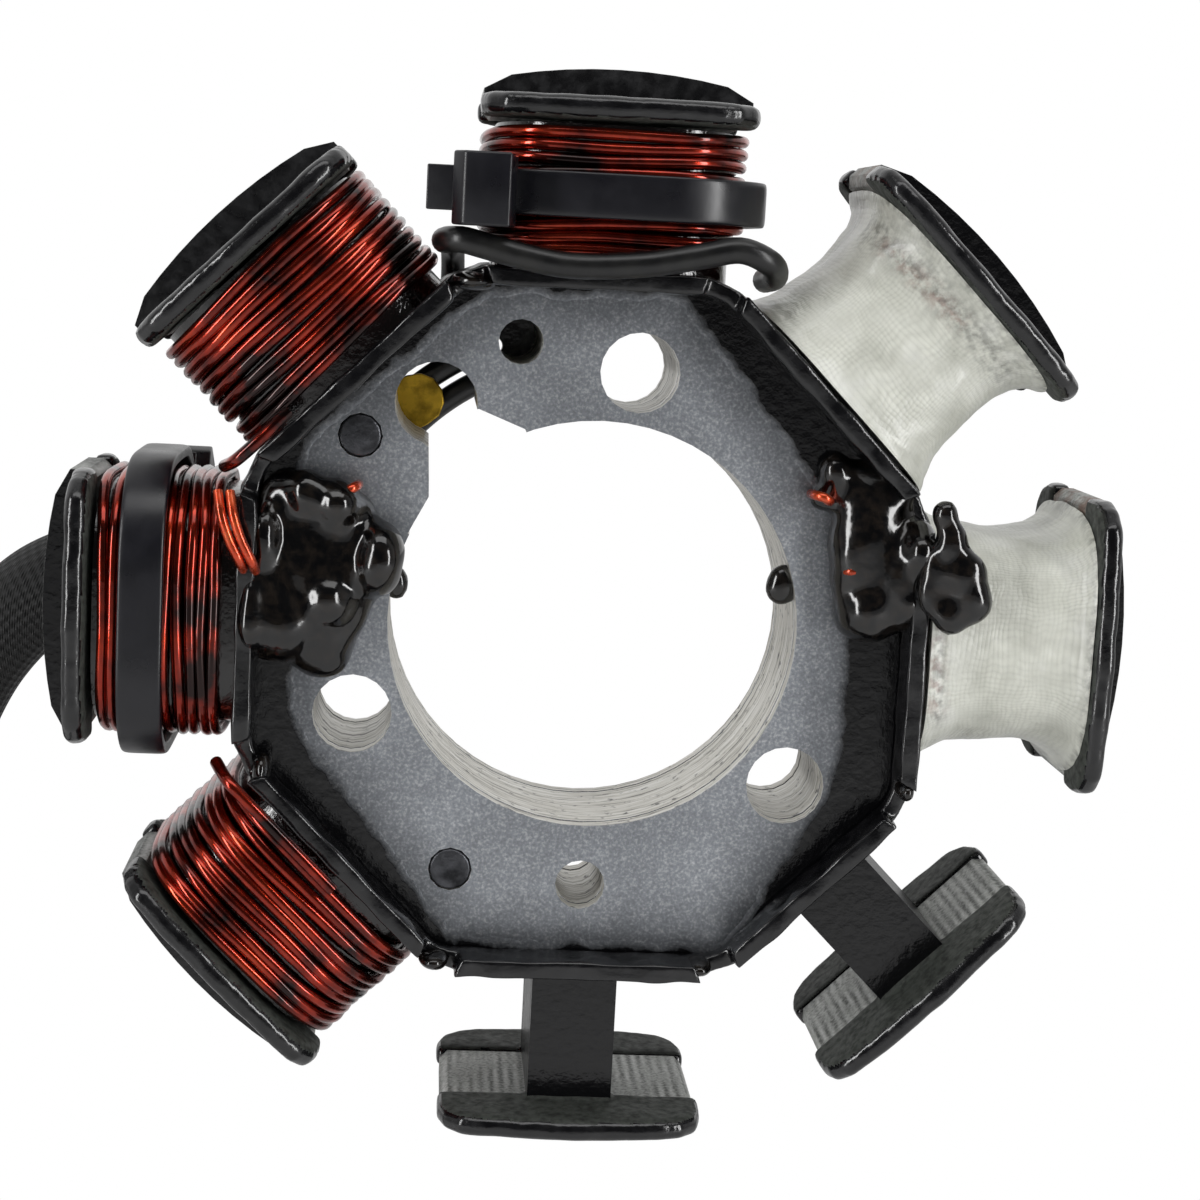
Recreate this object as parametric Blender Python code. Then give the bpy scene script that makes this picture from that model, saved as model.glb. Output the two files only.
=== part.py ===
"""Wound stator of a small engine's flywheel generator.

A riveted stack of steel sheets carries eight poles round a wide bore. Four poles have
open coils of enamelled wire, two have exciter coils under glass tape, two are bare.
The axis is Y, the front looks along -Y, and the origin is the centre of the rear face,
where the stator is screwed against the crankcase. Angles turn from +X towards +Z.
"""

import math

import bmesh
import bpy
from mathutils import Matrix, Vector

MM = 0.001

# Core
CORE_DEPTH = 14.0 * MM
PLATE = 1.4 * MM
FIT_GAP = 0.3 * MM
BORE_RADIUS = 17.1 * MM
POLE_COUNT = 8
NECK_WIDTH = 7.2 * MM
SHOE_DEPTH = 4.1 * MM
SHOE_WIDTH = 22.0 * MM
EXCITER_SHOE_WIDTH = 24.4 * MM
SHOE_CORNER = 1.0 * MM

# Bent tips of the pole plates
FRONT_TIP_HEIGHT = 5.4 * MM
REAR_TIP_HEIGHT = 4.7 * MM
TIP_THICKNESS = 1.6 * MM
TIP_CORNER = 3.4 * MM
TIP_CROWN = 0.6 * MM
TIP_ROUND = 0.35 * MM

# Coil guards
GUARD_APOTHEM = 29.3 * MM
EXCITER_GUARD_APOTHEM = 27.4 * MM
GUARD_WALL = 1.5 * MM
GUARD_HEIGHT = 4.0 * MM
GUARD_BASE = 1.6 * MM
GUARD_NOTCH = 3.2 * MM
GUARD_CORNER = 1.6 * MM

# Screw holes and rivets
SCREW_HOLE_RADIUS = 3.3 * MM
SCREW_CIRCLE = 21.35 * MM
SCREW_ANGLES = (82.5, 202.5, 322.5)
PIN_HOLES = ((24.3 * MM, 107.0, 1.85 * MM), (22.2 * MM, 270.0, 2.1 * MM))
RIVET_RADIUS = 1.55 * MM
RIVET_PLACES = ((24.9 * MM, 143.0), (23.9 * MM, 242.5), (24.3 * MM, 22.0))
RIVET_PROUD = 0.15 * MM

# Cable notch in the bore
NOTCH_RADIUS = 3.4 * MM
NOTCH_CENTRE = (-13.8 * MM, 17.9 * MM)
NOTCH_MOUTH = ((-10.3, 17.6), (-6.4, 16.1), (-4.0, 9.0), (-9.0, 4.0),
               (-15.7, 7.1), (-14.1, 10.2), (-14.3, 14.3), (-16.6, 15.9))

# Coils
WIRE = 1.05 * MM
COIL_TURNS = 10
COIL_LENGTH = 11.2 * MM
COIL_SIDE_BUILD = 7.6 * MM
COIL_FACE_BUILD = 4.8 * MM
COIL_WIDTH = NECK_WIDTH + 2 * COIL_SIDE_BUILD
COIL_DEPTH = CORE_DEPTH + 2 * COIL_FACE_BUILD
COIL_CORNER = 6.5 * MM
TURN_RELIEF = 0.36 * MM
TAPE = 0.5 * MM
# Share of the winding length of a taped coil, and its build over the sides and faces of the neck
TAPE_PROFILE = ((0.0, 7.2, 4.4), (0.08, 6.6, 4.0), (0.22, 5.8, 3.6), (0.45, 5.4, 3.4),
                (0.68, 5.4, 3.4), (0.84, 5.8, 3.7), (0.94, 6.7, 4.3), (1.0, 7.9, 5.0))

# Cable ties
TIE_WIDTH = 3.6 * MM
TIE_THICKNESS = 1.1 * MM
TIE_TOP_INSET = 5.9 * MM
TIE_SIDE_INSET = 4.4 * MM
TIE_HEAD = (4.6 * MM, 4.6 * MM, 5.2 * MM)
TIE_HEAD_SLIDE = 4.9 * MM
TIE_TAIL = 2.2 * MM

# Leads and harness
LEAD_RADIUS = 1.05 * MM
LEAD_LEVEL = 2.5 * MM
LEAD_CLEARANCE = 0.85 * MM
SLEEVE_RADIUS = 4.7 * MM
SLEEVE_LEVEL = COIL_DEPTH / 2 - CORE_DEPTH / 2 + SLEEVE_RADIUS + FIT_GAP
SLEEVE_END = (-61.0, -80.0)
TAIL_LENGTH = 24.0 * MM
TAG_THICKNESS = 0.6 * MM
TAG_EYE = 3.1 * MM
TAG_TONGUE = 5.0 * MM
CONNECTOR = (13.0 * MM, 9.0 * MM, 19.0 * MM)
CONNECTOR_WALL = 1.3 * MM
CONNECTOR_FLOOR = 5.0 * MM
LEAD_PITCH = 5.0 * MM

OPEN_COILS = {"top": 90, "upper_left": 135, "left": 180, "lower_left": 225}
EXCITER_COILS = {"upper_right": 45, "right": 0}

FRONT = -CORE_DEPTH
MIDDLE = -CORE_DEPTH / 2
COIL_INNER = GUARD_APOTHEM + 2 * FIT_GAP
EXCITER_INNER = EXCITER_GUARD_APOTHEM + FIT_GAP
COIL_OUTER = COIL_INNER + COIL_LENGTH
COIL_FRONT = MIDDLE - COIL_DEPTH / 2
SHOE_SEAT = COIL_OUTER + FIT_GAP
SHOE_RADIUS = SHOE_SEAT + SHOE_DEPTH
TIE_TOP_RADIUS = COIL_OUTER - TIE_TOP_INSET
TIE_SIDE_RADIUS = COIL_OUTER - TIE_SIDE_INSET


def polar(radius, degrees):
    """Point of the XZ plane at a radius and an angle."""
    turn = math.radians(degrees)
    return radius * math.cos(turn), radius * math.sin(turn)


def pole_matrix(degrees):
    """Turn a shape built on the top pole to the pole at an angle."""
    return Matrix.Rotation(math.radians(90 - degrees), 4, "Y")


def clear_scene():
    """Remove whatever the file opens with."""
    for item in list(bpy.data.objects):
        bpy.data.objects.remove(item, do_unlink=True)


def finish_material(name, colour, roughness, metallic=0.0):
    """Principled material with one colour."""
    made = bpy.data.materials.new(name)
    made.use_nodes = True
    shader = made.node_tree.nodes["Principled BSDF"]
    shader.inputs["Base Color"].default_value = (*colour, 1.0)
    shader.inputs["Roughness"].default_value = roughness
    shader.inputs["Metallic"].default_value = metallic
    return made


def add_object(name, shape, material=None):
    """Put a bmesh into the scene as a named object."""
    bmesh.ops.recalc_face_normals(shape, faces=shape.faces)
    mesh = bpy.data.meshes.new(name)
    shape.to_mesh(mesh)
    shape.free()
    mesh.shade_smooth()
    mesh.set_sharp_from_angle(angle=math.radians(35))
    made = bpy.data.objects.new(name, mesh)
    bpy.context.collection.objects.link(made)
    if material:
        mesh.materials.append(material)
    return made


def cutter(name, shape):
    """Put a bmesh into the scene as a hidden cutting body."""
    made = add_object(name, shape)
    made.hide_render = True
    made.display_type = "WIRE"
    return made


def combine(target, tool, operation):
    """Add a Boolean modifier."""
    step = target.modifiers.new(operation.lower(), "BOOLEAN")
    step.operation = operation
    step.solver = "EXACT"
    step.object = tool


def prism(shape, outline, start, end, axis="Y"):
    """Extrude an outline between two levels of an axis, as a closed body.

    The outline lies in XZ for an extrusion along Y and in XY for one along Z.
    """
    def point(pair, level):
        return (pair[0], level, pair[1]) if axis == "Y" else (pair[0], pair[1], level)

    low = [shape.verts.new(point(pair, start)) for pair in outline]
    base = shape.faces.new(low)
    made = bmesh.ops.extrude_face_region(shape, geom=[base], use_keep_orig=True)
    shift = Vector(point((0, 0), end)) - Vector(point((0, 0), start))
    moved = [item for item in made["geom"] if isinstance(item, bmesh.types.BMVert)]
    bmesh.ops.translate(shape, verts=moved, vec=shift)
    return low + moved


def cylinder(shape, radius, centre, start, end, segments):
    """Closed cylinder along Y."""
    place = Matrix.Translation((centre[0], (start + end) / 2, centre[1]))
    turn = Matrix.Rotation(math.radians(90), 4, "X")
    bmesh.ops.create_cone(shape, cap_ends=True, segments=segments, radius1=radius,
                          radius2=radius, depth=abs(end - start), matrix=place @ turn)


def arc_points(radius, half_width, steps):
    """Points of an arc about the origin, from one side of +Z to the other."""
    reach = math.asin(half_width / radius)
    return [(radius * math.sin(reach * (2 * i / steps - 1)),
             radius * math.cos(reach * (2 * i / steps - 1))) for i in range(steps + 1)]


def shoe_width(degrees):
    """Width of the shoe on the pole at an angle."""
    return EXCITER_SHOE_WIDTH if degrees in EXCITER_COILS.values() else SHOE_WIDTH


def pole_outline(root, half_width, bare_tip):
    """Outline of the top pole from its left root to its right one.

    Args:
        root: distance of the yoke's flat side from the axis.
        half_width: half the width of the shoe.
        bare_tip: True for a sheet of the stack, with its round shoe, and False for a
            pole plate, whose arm ends in the bend of its tip.
    """
    neck = NECK_WIDTH / 2
    if not bare_tip:
        end = SHOE_SEAT + TIP_THICKNESS / 2
        return [(-neck, root), (-neck, end), (neck, end), (neck, root)]
    crown = arc_points(SHOE_RADIUS, half_width, 10)
    side, top = half_width, crown[0][1]
    cut = SHOE_CORNER * 0.7
    right = [(side, top - cut), (side, SHOE_SEAT + cut), (side - cut, SHOE_SEAT),
             (neck, SHOE_SEAT), (neck, root)]
    return [(-x, z) for x, z in reversed(right)] + crown[1:-1] + right


def star_outline(bare_tip):
    """Outline of a whole sheet: the yoke's octagon, which carries the guards, and its poles."""
    flats = octagon(0.0, GUARD_CORNER)
    points = []
    for i in reversed(range(POLE_COUNT)):
        angle = i * 360 / POLE_COUNT
        place = pole_matrix(angle)
        points.append(tuple(flats[2 * i + 1]))
        for x, z in pole_outline(yoke_reach(angle), shoe_width(angle) / 2, bare_tip):
            spot = place @ Vector((x, 0, z))
            points.append((spot.x, spot.z))
        points.append(tuple(flats[2 * i]))
    return points


def core_cutters():
    """Bodies that cut the bore, the cable notch and every hole through the core."""
    start, end = FRONT - PLATE, PLATE
    bore = bmesh.new()
    cylinder(bore, BORE_RADIUS, (0, 0), start, end, 56)
    notch = bmesh.new()
    cylinder(notch, NOTCH_RADIUS, NOTCH_CENTRE, start, end, 24)
    mouth = bmesh.new()
    prism(mouth, [(x * MM, z * MM) for x, z in NOTCH_MOUTH], start, end)
    holes = bmesh.new()
    for angle in SCREW_ANGLES:
        cylinder(holes, SCREW_HOLE_RADIUS, polar(SCREW_CIRCLE, angle), start, end, 20)
    for radius, angle, size in PIN_HOLES:
        cylinder(holes, size, polar(radius, angle), start, end, 16)
    for radius, angle in RIVET_PLACES:
        cylinder(holes, RIVET_RADIUS + FIT_GAP, polar(radius, angle), start, end, 12)
    shapes = {"bore_cutter": bore, "notch_cutter": notch, "mouth_cutter": mouth, "hole_cutter": holes}
    return [cutter(name, shape) for name, shape in shapes.items()]


def tip_profile(half_width, height):
    """Free edge of a bent tip, as width against height above the plate's outer face."""
    bend, points = TIP_CORNER, []
    centre = half_width - bend
    for i in range(4):
        turn = math.radians(90 * i / 3)
        points.append((centre + bend * math.cos(turn), height - TIP_CROWN - bend + bend * math.sin(turn)))
    middle = [(centre * side, height - TIP_CROWN * 0.35) for side in (0.5, -0.5)]
    right = [point for point in points if point[1] < height]
    left = [(-x, y) for x, y in reversed(right)]
    return [*right, middle[0], (0, height), middle[1], *left]


def tip_bodies(face, outward):
    """The eight bent tips of a pole plate.

    Args:
        face: level of the plate's outer face.
        outward: -1 for the front plate and 1 for the rear one.
    """
    shape = bmesh.new()
    height = FRONT_TIP_HEIGHT if outward < 0 else REAR_TIP_HEIGHT
    for i in range(POLE_COUNT):
        angle = i * 360 / POLE_COUNT
        half = shoe_width(angle) / 2
        rim = [(x, face + outward * rise) for x, rise in tip_profile(half, height)]
        foot = [(-half, face - outward * PLATE), (half, face - outward * PLATE)]
        verts = prism(shape, rim + foot, SHOE_SEAT, SHOE_SEAT + TIP_THICKNESS, axis="Z")
        lip = [edge for edge in {e for v in verts for e in v.link_edges}
               if all((v.co.y - face) * outward > TIP_ROUND for v in edge.verts)
               and abs(edge.verts[0].co.z - edge.verts[1].co.z) < TIP_ROUND]
        rounded = bmesh.ops.bevel(shape, geom=lip, offset=TIP_ROUND, offset_type="OFFSET", segments=1,
                                  profile=0.5, affect="EDGES", material=-1)
        turned = {v for v in verts if v.is_valid} | set(rounded["verts"])
        bmesh.ops.transform(shape, matrix=pole_matrix(angle), verts=list(turned))
    return shape


def make_core(steel, enamel, rivet_steel):
    """Stack of sheets, the two pole plates and the rivets that hold them."""
    cutters = core_cutters()
    levels = {
        "lamination_stack": (FRONT + PLATE + FIT_GAP, -PLATE - FIT_GAP, True, steel),
        "front_pole_plate": (FRONT, FRONT + PLATE, False, enamel),
        "rear_pole_plate": (-PLATE, 0.0, False, enamel),
    }
    for name, (start, end, bare_tip, finish) in levels.items():
        shape = bmesh.new()
        prism(shape, star_outline(bare_tip), start, end)
        made = add_object(name, shape, finish)
        if not bare_tip:
            face, outward = (FRONT, -1) if start == FRONT else (0.0, 1)
            combine(made, cutter(name + "_tips", tip_bodies(face, outward)), "UNION")
        for tool in cutters:
            combine(made, tool, "DIFFERENCE")
    for i, (radius, angle) in enumerate(RIVET_PLACES, 1):
        shape = bmesh.new()
        cylinder(shape, RIVET_RADIUS, polar(radius, angle), FRONT - RIVET_PROUD, RIVET_PROUD, 12)
        ends = [e for e in shape.edges if abs(e.verts[0].co.y - e.verts[1].co.y) < FIT_GAP]
        bmesh.ops.bevel(shape, geom=ends, offset=RIVET_PROUD * 2, offset_type="OFFSET", segments=1,
                        profile=0.5, affect="EDGES", material=-1)
        add_object(f"core_rivet_{i}", shape, rivet_steel)


def yoke_reach(degrees):
    """Distance from the axis to the yoke's flat side, and its guard's, at a pole."""
    return EXCITER_GUARD_APOTHEM if degrees in EXCITER_COILS.values() else GUARD_APOTHEM


def octagon(inset, cut):
    """Outline of the yoke and its guards, moved inwards by an inset, with cut corners."""
    pitch = math.radians(360 / POLE_COUNT)
    reaches = [yoke_reach(i * 360 / POLE_COUNT) for i in range(POLE_COUNT)]
    points = []
    for i, reach in enumerate(reaches):
        turn = pitch * i
        out, along = Vector((math.cos(turn), math.sin(turn))), Vector((-math.sin(turn), math.cos(turn)))
        for side in (-1, 1):
            other = reaches[(i + side) % POLE_COUNT]
            length = (other - inset - (reach - inset) * math.cos(pitch)) / math.sin(pitch) - cut
            points.append(out * (reach - inset) + along * side * length)
    return points


def ring_wall(shape, outer, inner, start, end):
    """Closed wall between an outer and an inner outline, along Y."""
    loops = []
    for outline, level in ((outer, start), (outer, end), (inner, end), (inner, start)):
        loops.append([shape.verts.new((x, level, z)) for x, z in outline])
    count = len(outer)
    for low, high in zip(loops, loops[1:] + loops[:1]):
        for i in range(count):
            after = (i + 1) % count
            shape.faces.new((low[i], low[after], high[after], high[i]))


def make_guard(name, face, outward, material):
    """Octagonal guard that keeps the coils off the yoke, notched at its corners."""
    foot = face + outward * FIT_GAP
    rim = foot + outward * GUARD_HEIGHT
    shape = bmesh.new()
    ring_wall(shape, octagon(0.0, GUARD_CORNER), octagon(GUARD_WALL, GUARD_CORNER / 2), foot, rim)
    made = add_object(name, shape, material)
    notches = bmesh.new()
    size = (GUARD_NOTCH, 2 * (GUARD_HEIGHT - GUARD_BASE), 4 * GUARD_WALL)
    outer = octagon(0.0, GUARD_CORNER)
    for point in (outer[i].lerp(outer[(i + 1) % len(outer)], 0.5) for i in range(1, len(outer), 2)):
        angle = math.degrees(math.atan2(point[1], point[0]))
        block = bmesh.ops.create_cube(notches, size=1.0)["verts"]
        bmesh.ops.scale(notches, vec=size, verts=block)
        reach = math.hypot(*point) - GUARD_WALL / 2
        place = pole_matrix(angle) @ Matrix.Translation((0, rim, reach))
        bmesh.ops.transform(notches, matrix=place, verts=block)
    combine(made, cutter(name + "_notches", notches), "DIFFERENCE")


def rounded_rectangle(half_width, half_depth, corner, steps):
    """Points and outward directions round a rectangle with round corners."""
    made = []
    for quarter in range(4):
        start = 90 * quarter
        sign_x = 1 if quarter in (0, 3) else -1
        sign_y = 1 if quarter in (0, 1) else -1
        centre = (sign_x * (half_width - corner), sign_y * (half_depth - corner))
        for i in range(steps + 1):
            turn = math.radians(start + 90 * i / steps)
            out = (math.cos(turn), math.sin(turn))
            made.append((centre[0] + corner * out[0], centre[1] + corner * out[1], out))
    return made


def loft(shape, rings, centre_y):
    """Skin a closed series of closed rings of (x, y, z) into a body with a hole."""
    rows = [[shape.verts.new((x, y + centre_y, z)) for x, y, z in ring] for ring in rings]
    count = len(rows[0])
    for row, after in zip(rows, rows[1:] + rows[:1]):
        for i in range(count):
            j = (i + 1) % count
            shape.faces.new((row[i], row[j], after[j], after[i]))


def neck_hole(level, steps):
    """Ring of the passage for the neck through a coil, at one level."""
    half_width, half_depth = NECK_WIDTH / 2 + FIT_GAP, CORE_DEPTH / 2 + FIT_GAP
    return [(x, y, level) for x, y, _ in rounded_rectangle(half_width, half_depth, FIT_GAP, steps)]


def make_open_coil(name, degrees, material):
    """Coil of enamelled wire, with a ridge for each turn of its outer layer."""
    steps = 3
    pitch = (COIL_OUTER - COIL_INNER) / COIL_TURNS
    rings = [neck_hole(COIL_OUTER, steps), neck_hole(COIL_INNER, steps)]
    path = rounded_rectangle(COIL_WIDTH / 2, COIL_DEPTH / 2, COIL_CORNER, steps)
    for turn in range(COIL_TURNS):
        base = COIL_INNER + turn * pitch
        for share, sunk in ((0.0, TURN_RELIEF), (0.3, 0.0), (0.7, 0.0)):
            rings.append([(x - out[0] * sunk, y - out[1] * sunk, base + share * pitch) for x, y, out in path])
    rings.append([(x - out[0] * TURN_RELIEF, y - out[1] * TURN_RELIEF, COIL_OUTER) for x, y, out in path])
    shape = bmesh.new()
    loft(shape, rings, MIDDLE)
    bmesh.ops.transform(shape, matrix=pole_matrix(degrees), verts=shape.verts)
    add_object(name, shape, material)


def taped_rings(inset, steps):
    """Rings of a taped coil's outer form, moved inwards by an inset."""
    rings = []
    for share, side_build, face_build in TAPE_PROFILE:
        level = EXCITER_INNER + share * (COIL_OUTER - EXCITER_INNER)
        corner = COIL_CORNER * 0.7
        half_width, half_depth = NECK_WIDTH / 2 + side_build * MM, CORE_DEPTH / 2 + face_build * MM
        path = rounded_rectangle(half_width - inset, half_depth - inset, corner - inset, steps)
        rings.append([(x, y, level) for x, y, _ in path])
    return rings


def make_exciter_coil(place, degrees, wire, tape):
    """Coil of fine wire and the glass tape wrapped round it."""
    coil = bmesh.new()
    steps = 4
    rings = taped_rings(TAPE + FIT_GAP, steps)
    loft(coil, [neck_hole(COIL_OUTER, steps), neck_hole(EXCITER_INNER, steps), *rings], MIDDLE)
    wrap = bmesh.new()
    loft(wrap, [*reversed(taped_rings(TAPE, steps)), *taped_rings(0.0, steps)], MIDDLE)
    for shape, name, finish in ((coil, f"exciter_coil_{place}", wire), (wrap, f"glass_tape_{place}", tape)):
        bmesh.ops.transform(shape, matrix=pole_matrix(degrees), verts=shape.verts)
        add_object(name, shape, finish)


def belt(discs, grow, steps=32):
    """Outline of a band pulled tight round a set of discs, grown outwards by a length."""
    points = []
    for i in range(steps):
        turn = 2 * math.pi * (i + 0.5) / steps
        out = Vector((math.cos(turn), math.sin(turn)))
        x, y, radius = max(discs, key=lambda disc: disc[0] * out.x + disc[1] * out.y + disc[2])
        points.append(Vector((x, y)) + out * (radius + grow))
    return points


def make_tie(name, degrees, radius, bundle, head_turn, side, material):
    """Cable tie: a band round the coil, its locking head and the cut end of its tail.

    Args:
        radius: distance of the band from the stator's axis.
        bundle: extra discs (x, y, radius) that the band encloses beside the coil.
        head_turn: direction in degrees from the coil's middle in which the head faces.
        side: 1 or -1, the way round in which the tail leaves the head.
    """
    x, y = COIL_WIDTH / 2 - COIL_CORNER, COIL_DEPTH / 2 - COIL_CORNER
    discs = [(side * x, MIDDLE + end * y, COIL_CORNER) for side in (-1, 1) for end in (-1, 1)] + bundle
    low, high = radius - TIE_WIDTH / 2, radius + TIE_WIDTH / 2
    outer, inner = belt(discs, FIT_GAP + TIE_THICKNESS), belt(discs, FIT_GAP)
    rings = [[(*point, level) for point in outline]
             for outline, level in ((outer, low), (outer, high), (inner, high), (inner, low))]
    shape = bmesh.new()
    loft(shape, rings, 0.0)
    bmesh.ops.transform(shape, matrix=pole_matrix(degrees), verts=shape.verts)
    made = add_object(name, shape, material)
    turn = math.radians(head_turn)
    out = Vector((math.cos(turn), math.sin(turn)))
    x, y, reach = max(discs, key=lambda disc: disc[0] * out.x + disc[1] * out.y + disc[2])
    foot = Vector((x, y)) + out * (reach + FIT_GAP)
    place = Matrix.Translation((*foot, radius)) @ Matrix.Rotation(turn - math.pi / 2, 4, "Z")
    length = TIE_HEAD_SLIDE + TIE_HEAD[0] / 2 + TIE_TAIL
    for part, size, centre in (
        ("head", TIE_HEAD, (side * TIE_HEAD_SLIDE, TIE_HEAD[1] / 2 - TIE_THICKNESS * 0.2, 0)),
        ("tail", (length, TIE_THICKNESS * 0.9, TIE_WIDTH * 0.85), (side * length / 2, TIE_THICKNESS / 2, 0)),
    ):
        block = bmesh.new()
        verts = bmesh.ops.create_cube(block, size=1.0)["verts"]
        bmesh.ops.scale(block, vec=size, verts=verts)
        bmesh.ops.translate(block, vec=centre, verts=verts)
        bmesh.ops.transform(block, matrix=pole_matrix(degrees) @ place, verts=verts)
        combine(made, cutter(f"{name}_{part}", block), "UNION")


def smooth_route(points, spacing):
    """Points at an even spacing along a smooth curve through a route's own points."""
    ends = [points[0] * 2 - points[1], *points, points[-1] * 2 - points[-2]]
    fine = []
    for a, b, c, d in zip(ends, ends[1:], ends[2:], ends[3:]):
        for i in range(12):
            t = i / 12
            fine.append(0.5 * ((2 * b) + (c - a) * t + (2 * a - 5 * b + 4 * c - d) * t * t
                               + (3 * b - a - 3 * c + d) * t * t * t))
    fine.append(points[-1])
    lengths = [0.0]
    for a, b in zip(fine, fine[1:]):
        lengths.append(lengths[-1] + (b - a).length)
    count = max(3, round(lengths[-1] / spacing))
    even, at = [], 0
    for i in range(count + 1):
        want = lengths[-1] * i / count
        while at < len(fine) - 2 and lengths[at + 1] < want:
            at += 1
        span = lengths[at + 1] - lengths[at]
        even.append(fine[at].lerp(fine[at + 1], (want - lengths[at]) / span if span else 0.0))
    return even


def make_tube(name, route, radius, material, resolution=2, stride=2.0):
    """Round tube along a smooth curve through the points of a route, in millimetres.

    Args:
        stride: distance between the tube's own points, in diameters.
    """
    points = smooth_route([Vector(point) * MM for point in route], 2 * radius * stride)
    curve = bpy.data.curves.new(name, "CURVE")
    curve.dimensions = "3D"
    curve.bevel_depth = radius
    curve.bevel_resolution = resolution
    curve.use_fill_caps = True
    line = curve.splines.new("POLY")
    line.points.add(len(points) - 1)
    for spot, point in zip(line.points, points):
        spot.co = (*point, 1.0)
    curve.materials.append(material)
    made = bpy.data.objects.new(name, curve)
    bpy.context.collection.objects.link(made)
    return made


def make_bead(name, outline, base, height, outward, material):
    """Bead of cast resin: an outline that swells from its seat and closes in a dome.

    Args:
        outline: the bead's plan in millimetres.
        base: level of its seat.
        height: its height above the seat.
        outward: -1 towards the front and 1 towards the rear.
    """
    centre = Vector((sum(x for x, _ in outline), sum(z for _, z in outline))) / len(outline)
    shape = bmesh.new()
    rows = []
    for lift, spread in ((0.0, 0.97), (0.35, 1.0), (0.72, 0.8), (0.93, 0.5)):
        rows.append([])
        for x, z in outline:
            spot = centre.lerp(Vector((x, z)), spread) * MM
            rows[-1].append(shape.verts.new((spot.x, base + outward * height * lift, spot.y)))
    count = len(outline)
    for low, high in zip(rows, rows[1:]):
        for i in range(count):
            j = (i + 1) % count
            shape.faces.new((low[i], low[j], high[j], high[i]))
    shape.faces.new(rows[0])
    crown = shape.verts.new((centre.x * MM, base + outward * height, centre.y * MM))
    for i in range(count):
        shape.faces.new((rows[-1][i], rows[-1][(i + 1) % count], crown))
    return add_object(name, shape, material)


def make_beads(resin):
    """Resin over the soldered joints, on the front face and on the rear one."""
    seat = FRONT - FIT_GAP
    left = ((-27.2, 9.6), (-24.7, 12.3), (-22.3, 12.9), (-19.8, 11.4), (-19.4, 9.0), (-17.9, 8.6),
            (-16.6, 6.2), (-17.4, 3.6), (-18.0, 2.1), (-19.8, 1.3), (-20.4, -1.8), (-21.6, -3.2),
            (-24.1, -4.3), (-27.2, -3.8))
    right = ((17.2, 10.8), (18.9, 13.0), (20.6, 14.6), (23.0, 13.6), (24.9, 9.6), (25.3, 5.0),
             (25.2, 0.2), (22.5, -0.3), (20.3, 2.8), (19.2, 6.5))
    make_bead("resin_bead_left", left, seat, 5.6 * MM, -1, resin)
    make_bead("resin_bead_right", right, seat, 5.0 * MM, -1, resin)
    rear = [(x / MM, z / MM) for x, z in (
        polar(radius * MM, angle) for radius, angle in
        ((27.0, 109.0), (27.0, 101.0), (25.0, 97.5), (22.0, 98.0), (20.6, 103.5), (21.0, 110.0), (24.0, 112.0)))]
    make_bead("resin_bead_rear", rear, FIT_GAP, 4.6 * MM, 1, resin)
    lobe = ((25.7, 11.0), (27.8, 11.5), (29.6, 9.2), (30.9, 7.0), (32.6, 4.6), (31.9, 2.4),
            (29.5, 0.6), (27.2, 0.8), (25.7, 3.2), (25.6, 7.4))
    over = FRONT - 2 * FIT_GAP - GUARD_HEIGHT
    make_bead("resin_lobe_right", lobe, over, 2.2 * MM, -1, resin)


def make_tag(brass):
    """Brass earth tag under a rivet on the rear face, with its tongue over the notch."""
    radius, angle = RIVET_PLACES[0]
    eye = polar(radius, angle)
    low, high = FIT_GAP, FIT_GAP + TAG_THICKNESS
    aim = math.atan2(NOTCH_CENTRE[1] - eye[1], NOTCH_CENTRE[0] - eye[0])
    half = math.radians(52)
    outline = []
    for i in range(13):
        turn = aim + half + (2 * math.pi - 2 * half) * i / 12
        outline.append((eye[0] + TAG_EYE * math.cos(turn), eye[1] + TAG_EYE * math.sin(turn)))
    tip = (eye[0] + TAG_TONGUE * math.cos(aim), eye[1] + TAG_TONGUE * math.sin(aim))
    for i in range(7):
        turn = aim - math.pi / 2 + math.pi * i / 6
        outline.append((tip[0] + TAG_EYE * 0.75 * math.cos(turn), tip[1] + TAG_EYE * 0.75 * math.sin(turn)))
    shape = bmesh.new()
    prism(shape, outline, low, high)
    made = add_object("earth_tag", shape, brass)
    hole = bmesh.new()
    cylinder(hole, RIVET_RADIUS + FIT_GAP, eye, low - PLATE, high + PLATE, 12)
    combine(made, cutter("tag_cutter", hole), "DIFFERENCE")


def around(radius, start, stop, level, count):
    """Points in millimetres along an arc about the axis, at one level."""
    angles = [start + (stop - start) * i / max(1, count - 1) for i in range(count)]
    return [(x, level, z) for x, z in (polar(radius, angle) for angle in angles)]


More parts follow.
